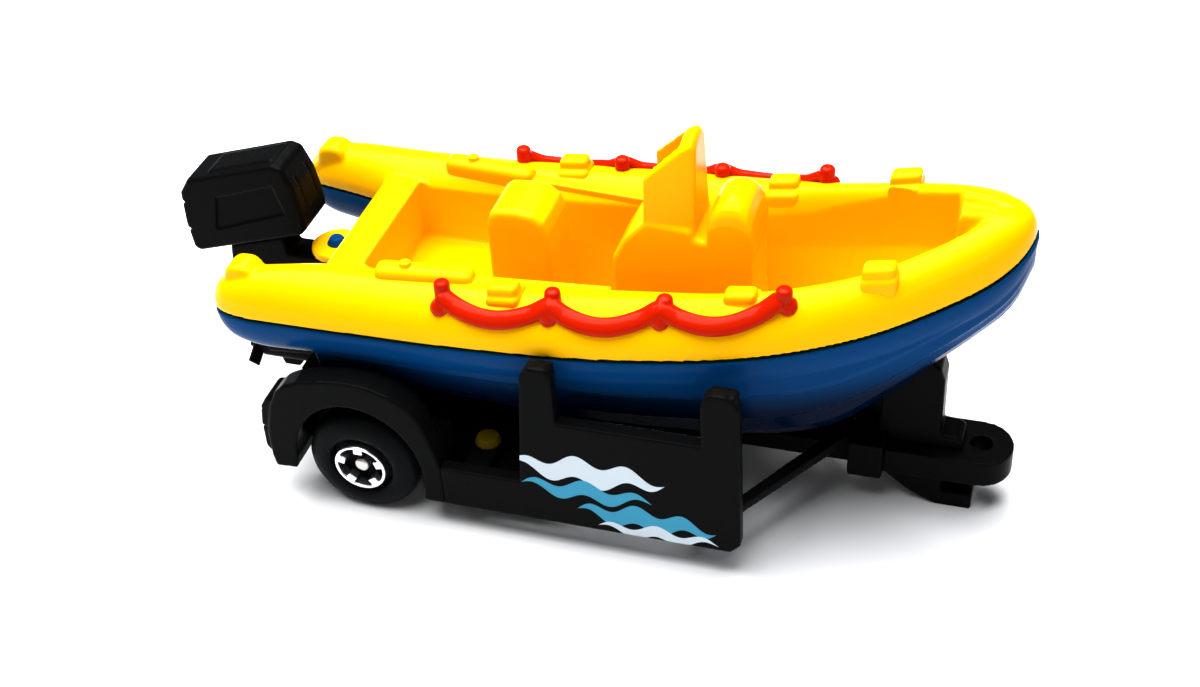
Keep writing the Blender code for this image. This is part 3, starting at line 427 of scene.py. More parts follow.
def box(x0, x1, y0, y1, z0, z1):
    bm = bmesh.new()
    bmesh.ops.create_cube(bm, size=1.0)
    bmesh.ops.scale(bm, vec=Vector((x1 - x0, y1 - y0, z1 - z0)) * MM, verts=bm.verts)
    bmesh.ops.translate(bm, vec=place((x0 + x1) / 2, (y0 + y1) / 2, (z0 + z1) / 2), verts=bm.verts)
    return bm


def bar(radius, start, end, sides=48, end_radius=None):
    """Round bar or cone from one point to another."""
    a, b = place(*start), place(*end)
    bm = bmesh.new()
    bmesh.ops.create_cone(bm, cap_ends=True, segments=sides, radius1=radius * MM,
                          radius2=(radius if end_radius is None else end_radius) * MM, depth=(b - a).length)
    turn = Vector((0, 0, 1)).rotation_difference((b - a).normalized()).to_matrix().to_4x4()
    bmesh.ops.transform(bm, matrix=Matrix.Translation((a + b) / 2) @ turn, verts=bm.verts)
    return bm


def ball(radius, centre, stretch=(1.0, 1.0, 1.0)):
    bm = bmesh.new()
    bmesh.ops.create_uvsphere(bm, u_segments=32, v_segments=20, radius=radius * MM)
    bmesh.ops.scale(bm, vec=stretch, verts=bm.verts)
    bmesh.ops.translate(bm, vec=place(*centre), verts=bm.verts)
    return bm


def side_plate(points, y0, y1):
    """Outline in x and z, from y0 to y1."""
    return skin([[place(x, y, z) for x, z in points] for y in (y0, y1)])


def flat_plate(points, z0, z1):
    """Outline in x and y, from z0 to z1."""
    return skin([[place(x, y, z) for x, y in points] for z in (z0, z1)])


def arc(cx, cz, rx, rz, start, end, steps):
    points = []
    for k in range(steps + 1):
        angle = math.radians(start + (end - start) * k / steps)
        points.append((cx + rx * math.cos(angle), cz + rz * math.sin(angle)))
    return points


def soften(bm, width, segments=3, angle=40.0):
    """Round the edges of a simple body that are sharper than the angle."""
    bmesh.ops.remove_doubles(bm, verts=bm.verts[:], dist=1e-7)
    sharp = [edge for edge in bm.edges if len(edge.link_faces) == 2
             and edge.calc_face_angle(0.0) > math.radians(angle)]
    bmesh.ops.bevel(bm, geom=sharp, offset=width * MM, offset_type="OFFSET", segments=segments, profile=0.5,
                    affect="EDGES", clamp_overlap=True, material=-1)
    return bm


test_body = skin([[place(0, 0, 0), place(1, 0, 0), place(1, 1, 0), place(0, 1, 0)],
                  [place(0, 0, 1), place(1, 0, 1), place(1, 1, 1), place(0, 1, 1)]])
volume = test_body.calc_volume() / MM**3
print("a lofted cube has", len(test_body.faces), "faces and volume", round(volume, 3))
test_body.free()

# %% [markdown]
# The moulding step turns a pile of overlapping bodies into one soft skin. Hollows are cut out
# of each body first; then the bodies are joined and remeshed on a fine grid, which also fuses
# them, and the result is relaxed a little, so that every inner and outer corner gets the small
# radius that a mould gives it. A last reduction keeps the triangles where the form needs them.

# %% The moulding step
TRIANGLE_LIMIT = 150000


def link_mesh(name, bm):
    mesh = bpy.data.meshes.new(name)
    bm.to_mesh(mesh)
    bm.free()
    obj = bpy.data.objects.new(name, mesh)
    bpy.context.scene.collection.objects.link(obj)
    return obj


def apply_modifiers(obj):
    bpy.context.view_layer.update()
    settled = bpy.data.meshes.new_from_object(obj.evaluated_get(bpy.context.evaluated_depsgraph_get()))
    obj.modifiers.clear()
    old = obj.data
    obj.data = settled
    bpy.data.meshes.remove(old)
    return obj


def dress(obj, finish, body, nodes, limit=TRIANGLE_LIMIT):
    """Thin the mesh if it is heavy, give it its finish, and let it ride in the place of its nodes."""
    triangles = sum(len(face.vertices) - 2 for face in obj.data.polygons)
    if triangles > limit:
        thin = obj.modifiers.new("thin", "DECIMATE")
        thin.ratio = limit / triangles
        apply_modifiers(obj)
    obj.data.materials.clear()
    obj.data.materials.append(finish)
    obj.data.shade_smooth()
    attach(obj, body)
    if nodes:
        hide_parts(*nodes)
    print(obj.name, triangles, "triangles before thinning")
    return obj


def reach(obj):
    xs, ys, zs = zip(*(vert.co for vert in obj.data.vertices))
    return (min(xs), min(ys), min(zs)), (max(xs), max(ys), max(zs))


def carve(body, tool):
    """Take the tool out of the body, where the two boxes meet."""
    if not body.data.vertices:
        return
    (low_a, high_a), (low_b, high_b) = reach(body), reach(tool)
    if all(low_a[k] < high_b[k] and low_b[k] < high_a[k] for k in range(3)):
        cut = body.modifiers.new("carve", "BOOLEAN")
        cut.operation = "DIFFERENCE"
        cut.solver = "MANIFOLD"
        cut.object = tool
        apply_modifiers(body)


def mould(name, adds, cuts, voxel, relax):
    """One soft skin from the added bodies less the cuts, on a grid of voxel millimetres."""
    tools = [link_mesh(f"{name}_tool_{number}", cut) for number, cut in enumerate(cuts)]
    bodies = [link_mesh(f"{name}_body_{number}", add) for number, add in enumerate(adds)]
    for body in bodies:
        for tool in tools:
            carve(body, tool)
    whole = bmesh.new()
    for body in bodies:
        if body.data.vertices:
            whole.from_mesh(body.data)
    for part in bodies + tools:
        bpy.data.objects.remove(part, do_unlink=True)
    obj = link_mesh(name, whole)
    remesh = obj.modifiers.new("remesh", "REMESH")
    remesh.mode = "VOXEL"
    remesh.voxel_size = voxel * MM
    remesh.adaptivity = 0.0
    if relax:
        smooth = obj.modifiers.new("relax", "SMOOTH")
        smooth.factor = 0.5
        smooth.iterations = relax
    return apply_modifiers(obj)


print("moulding step ready")

# %% [markdown]
# The boat in plan has straight sides and a bow that is half an ellipse. One parting seam runs
# all round it and rises to the bow; the yellow collar arches over the seam and the blue hull
# hangs under it. Both are lofted square to the outline from these tables.

# %% Lines of the boat
BEAM_HALF = 13.05
BOW_START_X = 15.0
BOW_LENGTH = 41.1
SEAM_GAP = 0.32
# Place and height of the seam, and of the keel's underside.
SHEER = ((-14, 19.0), (5, 19.1), (15, 19.5), (25, 20.2), (35, 21.3), (43, 23.1), (50, 25.6),
         (53.5, 27.0), (55.2, 28.1), (56.1, 29.1))
KEEL = ((-4.4, 7.8), (5, 7.0), (15, 6.4), (25, 6.0), (33, 6.2), (38, 7.0), (41.6, 8.6), (45, 11.8),
        (47.8, 14.6), (49.0, 16.0), (52.1, 19.1), (54.8, 22.2), (56.05, 26.0))
# Place, half outline, half width, height above the seam, depth below it.
TUBE = ((-13.7, 10.9, 0.7, 0.9, 1.2), (-13.05, 11.9, 1.6, 2.0, 2.6), (-11.8, 12.6, 2.2, 2.9, 3.6),
        (-9.5, 13.0, 2.65, 3.55, 4.1), (-7.0, 13.05, 2.95, 3.8, 4.2), (-4.0, 13.05, 3.35, 3.9, 4.2),
        (-1.0, 13.05, 3.5, 3.9, 4.2), (15.0, 13.05, 3.5, 3.9, 4.2))
# Share of the bow's quarter turn, half width, height above the seam, depth below it.
BOW = ((0.0, 3.5, 3.9, 4.2), (0.35, 3.3, 4.1, 4.0), (0.5, 2.8, 4.25, 3.95), (0.68, 2.75, 4.35, 4.0),
       (0.772, 2.8, 4.35, 4.3), (0.852, 2.9, 4.25, 4.7), (1.0, 3.0, 4.0, 5.4))
TUBE_INNER_ANGLE = 165.0
TUBE_STEPS = 28
BOW_STEPS = 60
# Place, half width of the rim, half width of the floor, height of the floor.
WELL = ((-0.6, 6.7, 6.5, 15.9), (9.6, 6.65, 6.45, 15.9), (11.5, 6.65, 6.45, 15.9), (13.0, 6.6, 6.3, 12.2),
        (22.5, 6.55, 6.2, 12.2), (28, 6.5, 6.0, 13.0), (36, 6.6, 5.6, 13.2), (41, 6.2, 4.3, 15.0),
        (45, 5.4, 3.0, 17.4), (49.4, 3.5, 1.6, 20.8))
WELL_STEPS = 40


def square_to_bow(turn):
    """Direction in plan that is square to the bow's ellipse."""
    return Vector((math.sin(turn) / BOW_LENGTH, math.cos(turn) / BEAM_HALF)).normalized()


def tube_stations():
    """Place, half outline, direction outwards, half width, height and depth of each ring."""
    stations = []
    straight = [-13.7 + 0.235 * k for k in range(19)] + [-9.0 + k for k in range(25)]
    for x in straight:
        stations.append((x, along(TUBE, x), 0.0, 1.0, *(along(TUBE, x, c) for c in (2, 3, 4))))
    for step in range(1, BOW_STEPS + 1):
        share = step / BOW_STEPS
        turn = math.radians(90.0 * share)
        x, w = BOW_START_X + BOW_LENGTH * math.sin(turn), BEAM_HALF * math.cos(turn)
        stations.append((x, w, *square_to_bow(turn), *(along(BOW, share, c) for c in (1, 2, 3))))
    return stations


def flank(x, w, nw, half_width):
    """Inner half width of the collar, so that it meets the well's rim at a set share of its crest."""
    if x < 0.0:
        return half_width
    rim_height = 0.6 - 0.18 * min(max((x - 26.0) / 14.0, 0.0), 1.0)
    to_rim = max((w - along(WELL, x)) / max(nw, 0.4), half_width + 1.2)
    return (to_rim - half_width) / math.cos(math.asin(rim_height))


def half_tube(side, below=False):
    """One side of the collar over the seam, or of the round chine under it."""
    rings = []
    for x, w, nx, nw, half_width, rise, drop in tube_stations():
        inner = half_width if below else min(flank(x, w, nw, half_width), 4.2)
        recess = 0.0 if below else 0.2 * max(0.0, (x - 45.0) / 11.0)
        ring = []
        for k in range(TUBE_STEPS + 1):
            angle = math.radians(TUBE_INNER_ANGLE * k / TUBE_STEPS)
            inward = recess + half_width - (half_width if k <= TUBE_STEPS / 2 else inner) * math.cos(angle)
            lift = -SEAM_GAP - drop * math.sin(angle) if below else rise * math.sin(angle)
            px = x - nx * inward
            ring.append(place(px, side * (w - nw * inward), along(SHEER, px) + lift))
        foot = -SEAM_GAP if below else 0.0
        ring.append(place(px, side * (w - nw * inward), along(SHEER, px) + foot))
        rings.append(ring)
    return skin(rings)


def well_body(grow, top_of, aft):
    """The cockpit well as a solid, or with grow the tray that is moulded round it."""
    rings = []
    for k in range(WELL_STEPS + 1):
        x = WELL[0][0] + (WELL[-1][0] - WELL[0][0]) * k / WELL_STEPS
        rim, floor_half, floor = (along(WELL, x, c) for c in (1, 2, 3))
        edge = aft if k == 0 else x + (grow if k == WELL_STEPS else 0.0)
        rim, floor_half, floor = rim + grow, floor_half + grow, floor - grow
        shoulder = along(SHEER, x) - 1.5
        half = ((rim, top_of(x)), (rim, shoulder), (floor_half, floor))
        rings.append([place(edge, -y, z) for y, z in half] + [place(edge, y, z) for y, z in reversed(half)])
    return skin(rings)


print("tube stations:", len(tube_stations()))

# %% [markdown]
# The yellow deck is one moulding: the air collar with its two blunt stern ends and lifting
# horns, the tray of the cockpit, the rounded transom bar with the motor lug, and the tongue at
# the bow with its two ridges. The well is deepest beside and ahead of the console, where the
# toy shows only dark. The six rubbing pads in two tiers and the paddle along each side are
# made on a finer grid, as a second piece that sits in the first.

# %% Deck moulding
PIVOT_X = -6.65
LUG_RADIUS, LUG_BOTTOM, LUG_TOP = 2.4, 17.9, 18.7
PIN_HOLE_RADIUS = 0.66
ABOVE_DECK = 45.0
# Place, half breadth of the upper and of the lower tier, top, rise for each millimetre forward.
PADS = ((13.8, 9.95, 9.8, 24.5, 0.1), (33.7, 8.5, 8.2, 25.9, 0.14), (44.5, 6.85, 6.6, 28.95, 0.2))
HORN_SIDE = ((-13.6, 19.8), (-13.0, 20.7), (-12.3, 21.2), (-12.0, 22.5), (-11.4, 23.1), (-9.9, 23.15),
             (-9.3, 22.6), (-8.9, 21.6), (-9.1, 19.8))
PADDLE_AFT, PADDLE_FORE = Vector((2.0, 8.75)), Vector((22.2, 7.1))


def tilted_block(x0, x1, y, width, top, depth, rise):
    climb = rise * (x1 - x0) / 2
    side = ((x0, top - depth - climb), (x1, top - depth + climb), (x1, top + climb), (x0, top - climb))
    return side_plate(side, y - width / 2, y + width / 2)


def pad_bodies():
    bodies = []
    for x, upper, lower, top, rise in PADS:
        for _, side in SIDES:
            cushion = tilted_block(x - 1.35, x + 1.35, side * upper, 1.75, top, 2.4, rise)
            foot = tilted_block(x - 1.4, x + 1.55, side * lower, 2.8, top - 0.85, 2.0, rise)
            bodies += [soften(cushion, 0.45), soften(foot, 0.45)]
    return bodies


def paddle_plate(start, end, half_width, low, high, side):
    run = (PADDLE_FORE - PADDLE_AFT).normalized()
    across = Vector((-run.y, run.x)) * half_width
    a, b = PADDLE_AFT + run * start, PADDLE_AFT + run * end
    corners = (a - across, b - across, b + across, a + across)
    return flat_plate([(c.x, side * c.y) for c in corners], low, high)


def paddle_bodies():
    bodies = []
    length = (PADDLE_FORE - PADDLE_AFT).length
    for _, side in SIDES:
        bodies.append(soften(paddle_plate(-0.4, 8.4, 1.05, 21.6, 23.85, side), 0.7, 4))
        bodies.append(soften(paddle_plate(5.0, length, 0.6, 21.0, 23.0, side), 0.12))
        bodies.append(bar(0.6, (4.35, side * 8.55, 22.5), (4.35, side * 8.55, 24.25), 32, 0.5))
    return bodies


def deck_bodies():
    bodies = [half_tube(side) for _, side in SIDES]
    bodies.append(well_body(0.9, lambda x: along(SHEER, x) + 0.8, -3.5))
    bodies.append(soften(box(-4.4, 0.4, -8.0, 8.0, 19.1, 22.0), 1.1, 4))
    bodies.append(bar(LUG_RADIUS, (PIVOT_X, 0, LUG_BOTTOM), (PIVOT_X, 0, LUG_TOP), 64))
    bodies.append(box(PIVOT_X, -3.1, -LUG_RADIUS, LUG_RADIUS, LUG_BOTTOM, LUG_TOP))
    tongue = ((49.8, -1.9), (54.0, -1.5), (55.0, -0.8), (55.0, 0.8), (54.0, 1.5), (49.8, 1.9))
    bodies.append(flat_plate(tongue, 26.0, 30.5))
    for y in (-1.3, 1.3):
        bodies.append(bar(0.6, (49.9, y, 30.55), (54.4, y * 0.6, 30.3), 32))
    for _, side in SIDES:
        bodies.append(soften(side_plate(HORN_SIDE, side * 9.95 - 1.35, side * 9.95 + 1.35), 0.6))
    return bodies


def well_cut():
    return well_body(0.0, lambda x: ABOVE_DECK, WELL[0][0])


pin_hole = bar(PIN_HOLE_RADIUS, (PIVOT_X, 0, 16), (PIVOT_X, 0, 20), 32)
deck = mould("yellow_deck", deck_bodies(), [well_cut(), pin_hole], 0.16, 5)
dress(deck, yellow, "boat_and_trailer", ["deck_moulding"])
fittings = mould("pads_and_paddles", pad_bodies() + paddle_bodies(), [well_cut()], 0.09, 2)
dress(fittings, yellow, "boat_and_trailer", [], 90000)

# %% [markdown]
# The aft seat and the helm console stand in the well as plump blocks. The console carries a
# wrap-round windscreen that is open towards the stern, and a padded roll in front of it.

# %% Seat and console
# Place, half width and height at the foot, half width and height at the rim, height of the crest.
WINDSCREEN = ((24.0, 2.97, 26.3, 2.35, 31.0, 31.9), (25.2, 2.92, 26.3, 2.2, 32.1, 33.0),
              (26.2, 2.86, 26.3, 2.08, 33.0, 34.0), (27.2, 2.78, 26.3, 1.95, 33.9, 34.8),
              (28.0, 2.7, 26.3, 1.78, 34.4, 35.15), (28.4, 2.6, 26.3, 1.6, 34.0, 34.7))
ROLL_SIDE = ((29.5, 25.0), (29.5, 27.6), (29.7, 28.7), (30.2, 29.4), (30.9, 29.8), (31.6, 29.9), (32.3, 29.7),
             (32.9, 29.2), (33.3, 28.3), (33.5, 27.0), (33.55, 25.0))
# Place across the roll and share of its full height.
ROLL_CROWN = ((-3.0, 0.62), (-2.85, 0.78), (-2.55, 0.89), (-2.0, 0.965), (-1.2, 0.995), (0.0, 1.0),
              (1.2, 0.995), (2.0, 0.965), (2.55, 0.89), (2.85, 0.78), (3.0, 0.62))
ROLL_FOOT = 25.0
DASH_TOP = 29.0
SCREEN_WALL = 0.6


def screen_ring(x, foot_half, foot, rim_half, rim, crest):
    half = [(foot_half, foot), (rim_half, rim), (rim_half * 0.62, rim + (crest - rim) * 0.72),
            (rim_half * 0.3, rim + (crest - rim) * 0.94)]
    return [place(x, -y, z) for y, z in half] + [place(x, y, z) for y, z in reversed(half)]


def console_bodies():
    side = ((20.8, 11.0), (21.1, 23.2), (22.3, 25.4), (23.6, 26.8), (24.2, 27.4), (28.1, 27.0), (28.4, 26.1),
            (29.7, 25.9), (33.4, 25.6), (33.5, 20.8), (33.6, 11.0))
    roll = skin([[place(x, y, ROLL_FOOT + (z - ROLL_FOOT) * share) for x, z in ROLL_SIDE]
                 for y, share in ROLL_CROWN])
    return [soften(side_plate(side, -3.0, 3.0), 0.35), skin([screen_ring(*row) for row in WINDSCREEN]), roll]


def console_hollow():
    rows = []
    for x, half, foot, rim_half, rim, crest in WINDSCREEN[:-1]:
        dash_half = half + (rim_half - half) * (DASH_TOP - foot) / (rim - foot)
        rows.append((x - 1.0, dash_half - SCREEN_WALL, DASH_TOP, rim_half - SCREEN_WALL, rim + 1.0,
                     crest + 3.0))
    return skin([screen_ring(*row) for row in rows])


seat_side = ((9.4, 11.0), (9.7, 24.8), (10.0, 25.9), (10.6, 26.4), (12.4, 26.55), (14.1, 26.3), (15.0, 25.6),
             (15.35, 24.4), (15.5, 22.5), (15.6, 11.0))
seat = mould("plump_aft_seat", [soften(side_plate(seat_side, -2.8, 2.8), 0.5)], [], 0.12, 10)
dress(seat, yellow, "boat_and_trailer", ["aft_seat"], 30000)
console = mould("console_with_screen", console_bodies(), [console_hollow()], 0.12, 9)
dress(console, yellow, "boat_and_trailer", ["helm_console"], 60000)

# %% [markdown]
# The hull is blue and glossy. Its sides step in under lapped strakes that run the whole
# length and draw together at the stem, and the round chine bulges out just under the seam.
# A dark rib stands in the open seam: painted shade for the deep shadow there.

# %% Hull
# Share of the half breadth, and share of the height from the keel to the seam.
HULL_SECTION = ((0.93, 0.90), (0.92, 0.70), (0.88, 0.665), (0.845, 0.48), (0.795, 0.45), (0.70, 0.29),
                (0.645, 0.265), (0.48, 0.12), (0.425, 0.10), (0.0, 0.0))


def half_outline(x):
    if x <= BOW_START_X:
        return along(TUBE, x)
    return BEAM_HALF * math.sqrt(1.0 - min((x - BOW_START_X) / BOW_LENGTH, 1.0)**2)


def hull_body():
    rings = []
    places = [-4.4 + 1.2 * k for k in range(44)]
    places += [48.8, 49.8, 50.8, 51.8, 52.6, 53.4, 54.0, 54.6, 55.1, 55.5, 55.8, 56.0]
    for x in sorted(places):
        breadth = half_outline(x)
        seam, keel = along(SHEER, x) - SEAM_GAP, along(KEEL, x)
        half = [(breadth * share, keel + (seam - keel) * height) for share, height in HULL_SECTION]
        rings.append([place(x, -y, z) for y, z in half] + [place(x, y, z) for y, z in reversed(half[:-1])])
    return skin(rings)


def seam_rib(side):
    rings = []
    for x, w, nx, nw, half_width, _, _ in tube_stations():
        if half_width > 2.0:
            ring = []
            for inward, rise in ((0.55, -1.4), (0.55, 0.3), (1.3, 0.3), (1.3, -1.4)):
                px = x - nx * inward
                ring.append(place(px, side * (w - nw * inward), along(SHEER, px) + rise))
            rings.append(ring)
    return skin(rings)


LUG_AIR = 0.15
FOOT_RADIUS, FOOT_BOTTOM, FOOT_TOP = 1.75, 14.2, 15.7
lug_half = LUG_RADIUS + LUG_AIR
hull_cuts = [well_body(1.05, lambda x: 40.0, -3.65),
             box(-4.9, -3.0, -lug_half, lug_half, LUG_BOTTOM - LUG_AIR, 24.0)]
pin_foot = [bar(FOOT_RADIUS, (PIVOT_X, 0, FOOT_BOTTOM), (PIVOT_X, 0, FOOT_TOP)),
            box(PIVOT_X, -4.0, -FOOT_RADIUS, FOOT_RADIUS, FOOT_BOTTOM, FOOT_TOP)]
hull_bodies = [hull_body()] + [half_tube(side, True) for _, side in SIDES] + pin_foot
hull = mould("blue_hull", hull_bodies, hull_cuts, 0.15, 1)
dress(hull, blue, "boat_and_trailer", ["hull"])
rib = mould("seam_shade_rib", [seam_rib(side) for _, side in SIDES], [], 0.15, 0)
dress(rib, seam_painted_shade, "boat_and_trailer", [], 20000)

# %% [markdown]
# The red grab lines are raised bands on the collar, painted with glossy enamel. Each hangs in
# three shallow loops between four round pins, and swells like a bell under every pin. The
# route is an angle up from the seam at each place along the boat, so it follows the collar.

# %% Grab lines
GRAB_KNOBS = ((8.52, 10.69, 24.26), (18.24, 10.32, 24.63), (27.76, 9.97, 25.22), (37.38, 9.04, 26.92))
GRAB_HALF_WIDTH, GRAB_HALF_THICK = 0.85, 0.5
GRAB_HIGH, GRAB_SAG, GRAB_STEPS = 66.0, 22.5, 24
PIN_RADIUS, BELL_RADIUS = 0.7, 0.9


def collar_point(x, angle, lift):
    """Point over the collar at the place x and the angle up from the seam."""
    turn = math.asin(min(max(x - BOW_START_X, 0.0) / BOW_LENGTH, 1.0))
    normal = square_to_bow(turn)
    width, rise = (along(BOW, turn / math.radians(90.0), c) for c in (1, 2))
    inward = width * (1.0 - math.cos(angle)) - lift * math.cos(angle)
    px, pw = x - normal.x * inward, half_outline(x) - normal.y * inward
    return px, pw, along(SHEER, px) + (rise + lift) * math.sin(angle)


def flat_band(points, outward, sides=20):
    """Flat cord along the points: an oval at each, its broad side on the collar."""
    rings = []
    for k, (point, out) in enumerate(zip(points, outward)):
        run = (points[min(k + 1, len(points) - 1)] - points[max(k - 1, 0)]).normalized()
        across = run.cross(out).normalized()
        lift = across.cross(run)
        turns = [2 * math.pi * i / sides for i in range(sides)]
        rings.append([point + (across * math.cos(turn) * GRAB_HALF_WIDTH
                               + lift * math.sin(turn) * GRAB_HALF_THICK) * MM for turn in turns])
    return skin(rings)


def grab_angles():
    spots = []
    for (x0, _, _), (x1, _, _) in zip(GRAB_KNOBS, GRAB_KNOBS[1:]):
        for k in range(GRAB_STEPS):
            angle = GRAB_HIGH - GRAB_SAG * math.sin(math.pi * k / GRAB_STEPS)
            spots.append((x0 + (x1 - x0) * k / GRAB_STEPS, math.radians(angle)))
    return spots + [(GRAB_KNOBS[-1][0], math.radians(GRAB_HIGH))]


def grab_line_bodies(side):
    route, outward = [], []
    for x, angle in grab_angles():
        lift = 0.15 + 0.5 * max(0.0, math.degrees(angle) - 56.0) / 10.0
        (px, pw, pz), (qx, qw, qz) = collar_point(x, angle, lift), collar_point(x, angle, lift + 1.0)
        route.append(place(px, side * pw, pz))
        outward.append(Vector((qx - px, side * (qw - pw), qz - pz)).normalized())
    bodies = [flat_band(route, outward)]
    for number, (x, w, top) in enumerate(GRAB_KNOBS):
        pin = bar(PIN_RADIUS, (x, side * w, top - 3.0), (x, side * w, top + 0.15), 32)
        bodies.append(soften(pin, PIN_RADIUS / 2))
        ahead, angle = (0.7, 62.0) if number == len(GRAB_KNOBS) - 1 else (0.0, 54.0)
        px, pw, pz = collar_point(x + ahead, math.radians(angle), -0.2)
        bodies.append(ball(BELL_RADIUS, (px, side * pw, pz)))
    return bodies


for side_name, side in SIDES:
    line = mould(f"red_line_{side_name}", grab_line_bodies(side), [half_tube(side)], 0.1, 4)
    dress(line, red, "boat_and_trailer", [f"grab_line_{side_name}"], 50000)

# %% [markdown]
# The outboard motor swings on a riveted pin. Its cowl is a tilted, rounded box with louvres
# round the back, a sunk panel on each side and grooves that mark the lid.

# %% Outboard motor
COWL_SIDE = ((-19.6, 25.3), (-10.6, 28.0), (-9.6, 27.7), (-8.75, 25.6), (-8.3, 23.0), (-8.25, 21.4),
             (-8.9, 20.7), (-19.9, 17.35), (-20.5, 17.7), (-20.75, 20.5), (-20.6, 23.8))
COWL_HALF = 2.4
LID_SIDE = ((-17.6, 25.2), (-17.6, 26.1), (-11.0, 28.1), (-10.5, 27.6), (-11.0, 27.2))


def cowl_cuts():
    cuts = []
    for z in (19.7, 22.7):
        slot = ((-21.5, z - 0.5), (-20.3, z - 0.05), (-20.3, z + 0.3), (-21.5, z))
        cuts.append(side_plate(slot, -4.0, 4.0))
    for _, side in SIDES:
        panel = ((-16.9, 23.8), (-10.85, 25.9), (-10.05, 22.9), (-17.6, 20.1))
        y0, y1 = sorted((side * (COWL_HALF - 0.2), side * 4.0))
        cuts.append(side_plate(panel, y0, y1))
        y2, y3 = sorted((side * 1.02, side * 1.27))
        cuts.append(box(-9.3, -8.0, y2, y3, 21.5, 26.5))
    return cuts


cowl_bodies = [soften(side_plate(COWL_SIDE, -COWL_HALF, COWL_HALF), 0.75, 4),
               soften(side_plate(LID_SIDE, -1.5, 1.5), 0.12)]
cowl = mould("motor_cowl", cowl_bodies, cowl_cuts(), 0.1, 3)
dress(cowl, black, "outboard", ["outboard_cowl"], 60000)

LEG_SIDE = ((-17.2, 17.9), (-11.2, 19.73), (-11.1, 18.0), (-10.8, 16.2), (-10.6, 14.5), (-10.2, 8.0),
            (-10.0, 5.6), (-15.8, 5.2), (-16.0, 8.5), (-17.4, 16.0))
SKEG_SIDE = ((-11.6, 4.9), (-13.2, 2.9), (-14.8, 2.9), (-15.4, 4.9))
LEG_HALF = 1.5
TONGUE_BOTTOM, TONGUE_TOP = 16.0, 17.6
leg_bodies = [soften(side_plate(LEG_SIDE, -LEG_HALF, LEG_HALF), 0.4),
              box(-11.5, PIVOT_X, -LEG_HALF, LEG_HALF, TONGUE_BOTTOM, TONGUE_TOP),
              bar(1.6, (PIVOT_X, 0, TONGUE_BOTTOM), (PIVOT_X, 0, TONGUE_TOP)),
              bar(1.1, (-10.6, 0, 4.9), (-16.6, 0, 4.9)), side_plate(SKEG_SIDE, -0.35, 0.35)]
leg_hole = bar(PIN_HOLE_RADIUS, (PIVOT_X, 0, 15), (PIVOT_X, 0, 19))
leg = mould("motor_leg", leg_bodies, [leg_hole], 0.13, 3)
dress(leg, black, "outboard", ["outboard_leg"], 40000)

# %% [markdown]
# The trailer is satin black. Its frame, side boards, drawbar and bow post are soft copies of
# the measured solids. The mudguards are made here, because their arches narrow upwards and
# inwards: rings are lofted across the wheel, and the chine of the boat is cut out of them.
# A thin plate closes the frame between the wheels and the boards. It is a guess from the
# photograph, which shows black with specks of dust there, and the measured solids leave that
# space open.

# %% Trailer
def soft_copy(name, node, voxel, relax, finish, body, limit):
    """A soft-edged copy of a solid: its loose triangles are merged, then remeshed and relaxed."""
    bm = bmesh.new()
    bm.from_mesh(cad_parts[node].data)
    bmesh.ops.remove_doubles(bm, verts=bm.verts[:], dist=1e-7)
    return dress(mould(name, [bm], [], voxel, relax), finish, body, [node], limit)


soft_copy("trailer_frame", "chassis", 0.16, 3, black, "boat_and_trailer", 80000)
BED_OUTLINE = ((-1.5, -10.4), (8.2, -10.4), (8.2, -13.4), (17.0, -13.4), (17.0, 13.4), (8.2, 13.4),
               (8.2, 10.4), (-1.5, 10.4))
BED_BOTTOM, BED_TOP = 3.1, 3.7
bed = flat_plate(BED_OUTLINE, BED_BOTTOM, BED_TOP)
dress(mould("bed_plate", [bed], [], 0.2, 1), black, "boat_and_trailer", [], 20000)
soft_copy("hitch_drawbar", "drawbar", 0.12, 3, black, "boat_and_trailer", 40000)
soft_copy("bow_rest", "bow_post", 0.12, 3, black, "boat_and_trailer", 20000)
soft_copy("turning_blades", "propeller", 0.1, 1, black, "outboard", 20000)
soft_copy("rivet_pin", "pivot_pin", 0.1, 2, blue, "boat_and_trailer", 20000)
GUARD_RIDGE = ((7.95, 2.65), (7.95, 6.9), (7.5, 8.7), (7.05, 10.3), (6.6, 11.7), (5.9, 12.9), (5.1, 13.6),
               (4.0, 14.3), (2.0, 15.0), (0.0, 15.15), (-2.5, 14.9), (-4.9, 14.3), (-6.3, 13.6), (-7.1, 12.8),
               (-7.9, 11.0), (-8.4, 9.0), (-8.65, 7.4), (-8.7, 5.05), (-8.5, 3.85), (-6.45, 3.95))
# Place across the wheel, and how far the arch has dropped there.
GUARD_ACROSS = ((15.17, 0.12), (15.05, 0.0), (13.2, 0.0), (12.6, 0.25), (12.0, 0.7), (11.3, 1.3), (10.7, 2.0))
LAMP_SIDE = ((-7.0, 11.9), (-8.4, 11.6), (-9.0, 10.6), (-9.3, 8.6), (-9.35, 5.9), (-9.0, 5.3), (-8.0, 5.3))
WHEEL_RADIUS = 5.25
SHOULDER_Z = 9.0


def guard_body(side):
    rings = []
    for y, drop in GUARD_ACROSS:
        ring = []
        for x, z in GUARD_RIDGE:
            away = math.hypot(x, z - WHEEL_RADIUS)
            share = 1.0 - drop / away if z > SHOULDER_Z else 1.0
            ring.append(place(x * share, side * y, WHEEL_RADIUS + (z - WHEEL_RADIUS) * share))
        ring += [place(x, side * y, z) for x, z in arc(0, WHEEL_RADIUS, 6.15, 7.1, 180, 0, 28)]
        ring.append(place(6.0, side * y, 2.65))
        rings.append(ring)
    return skin(rings)


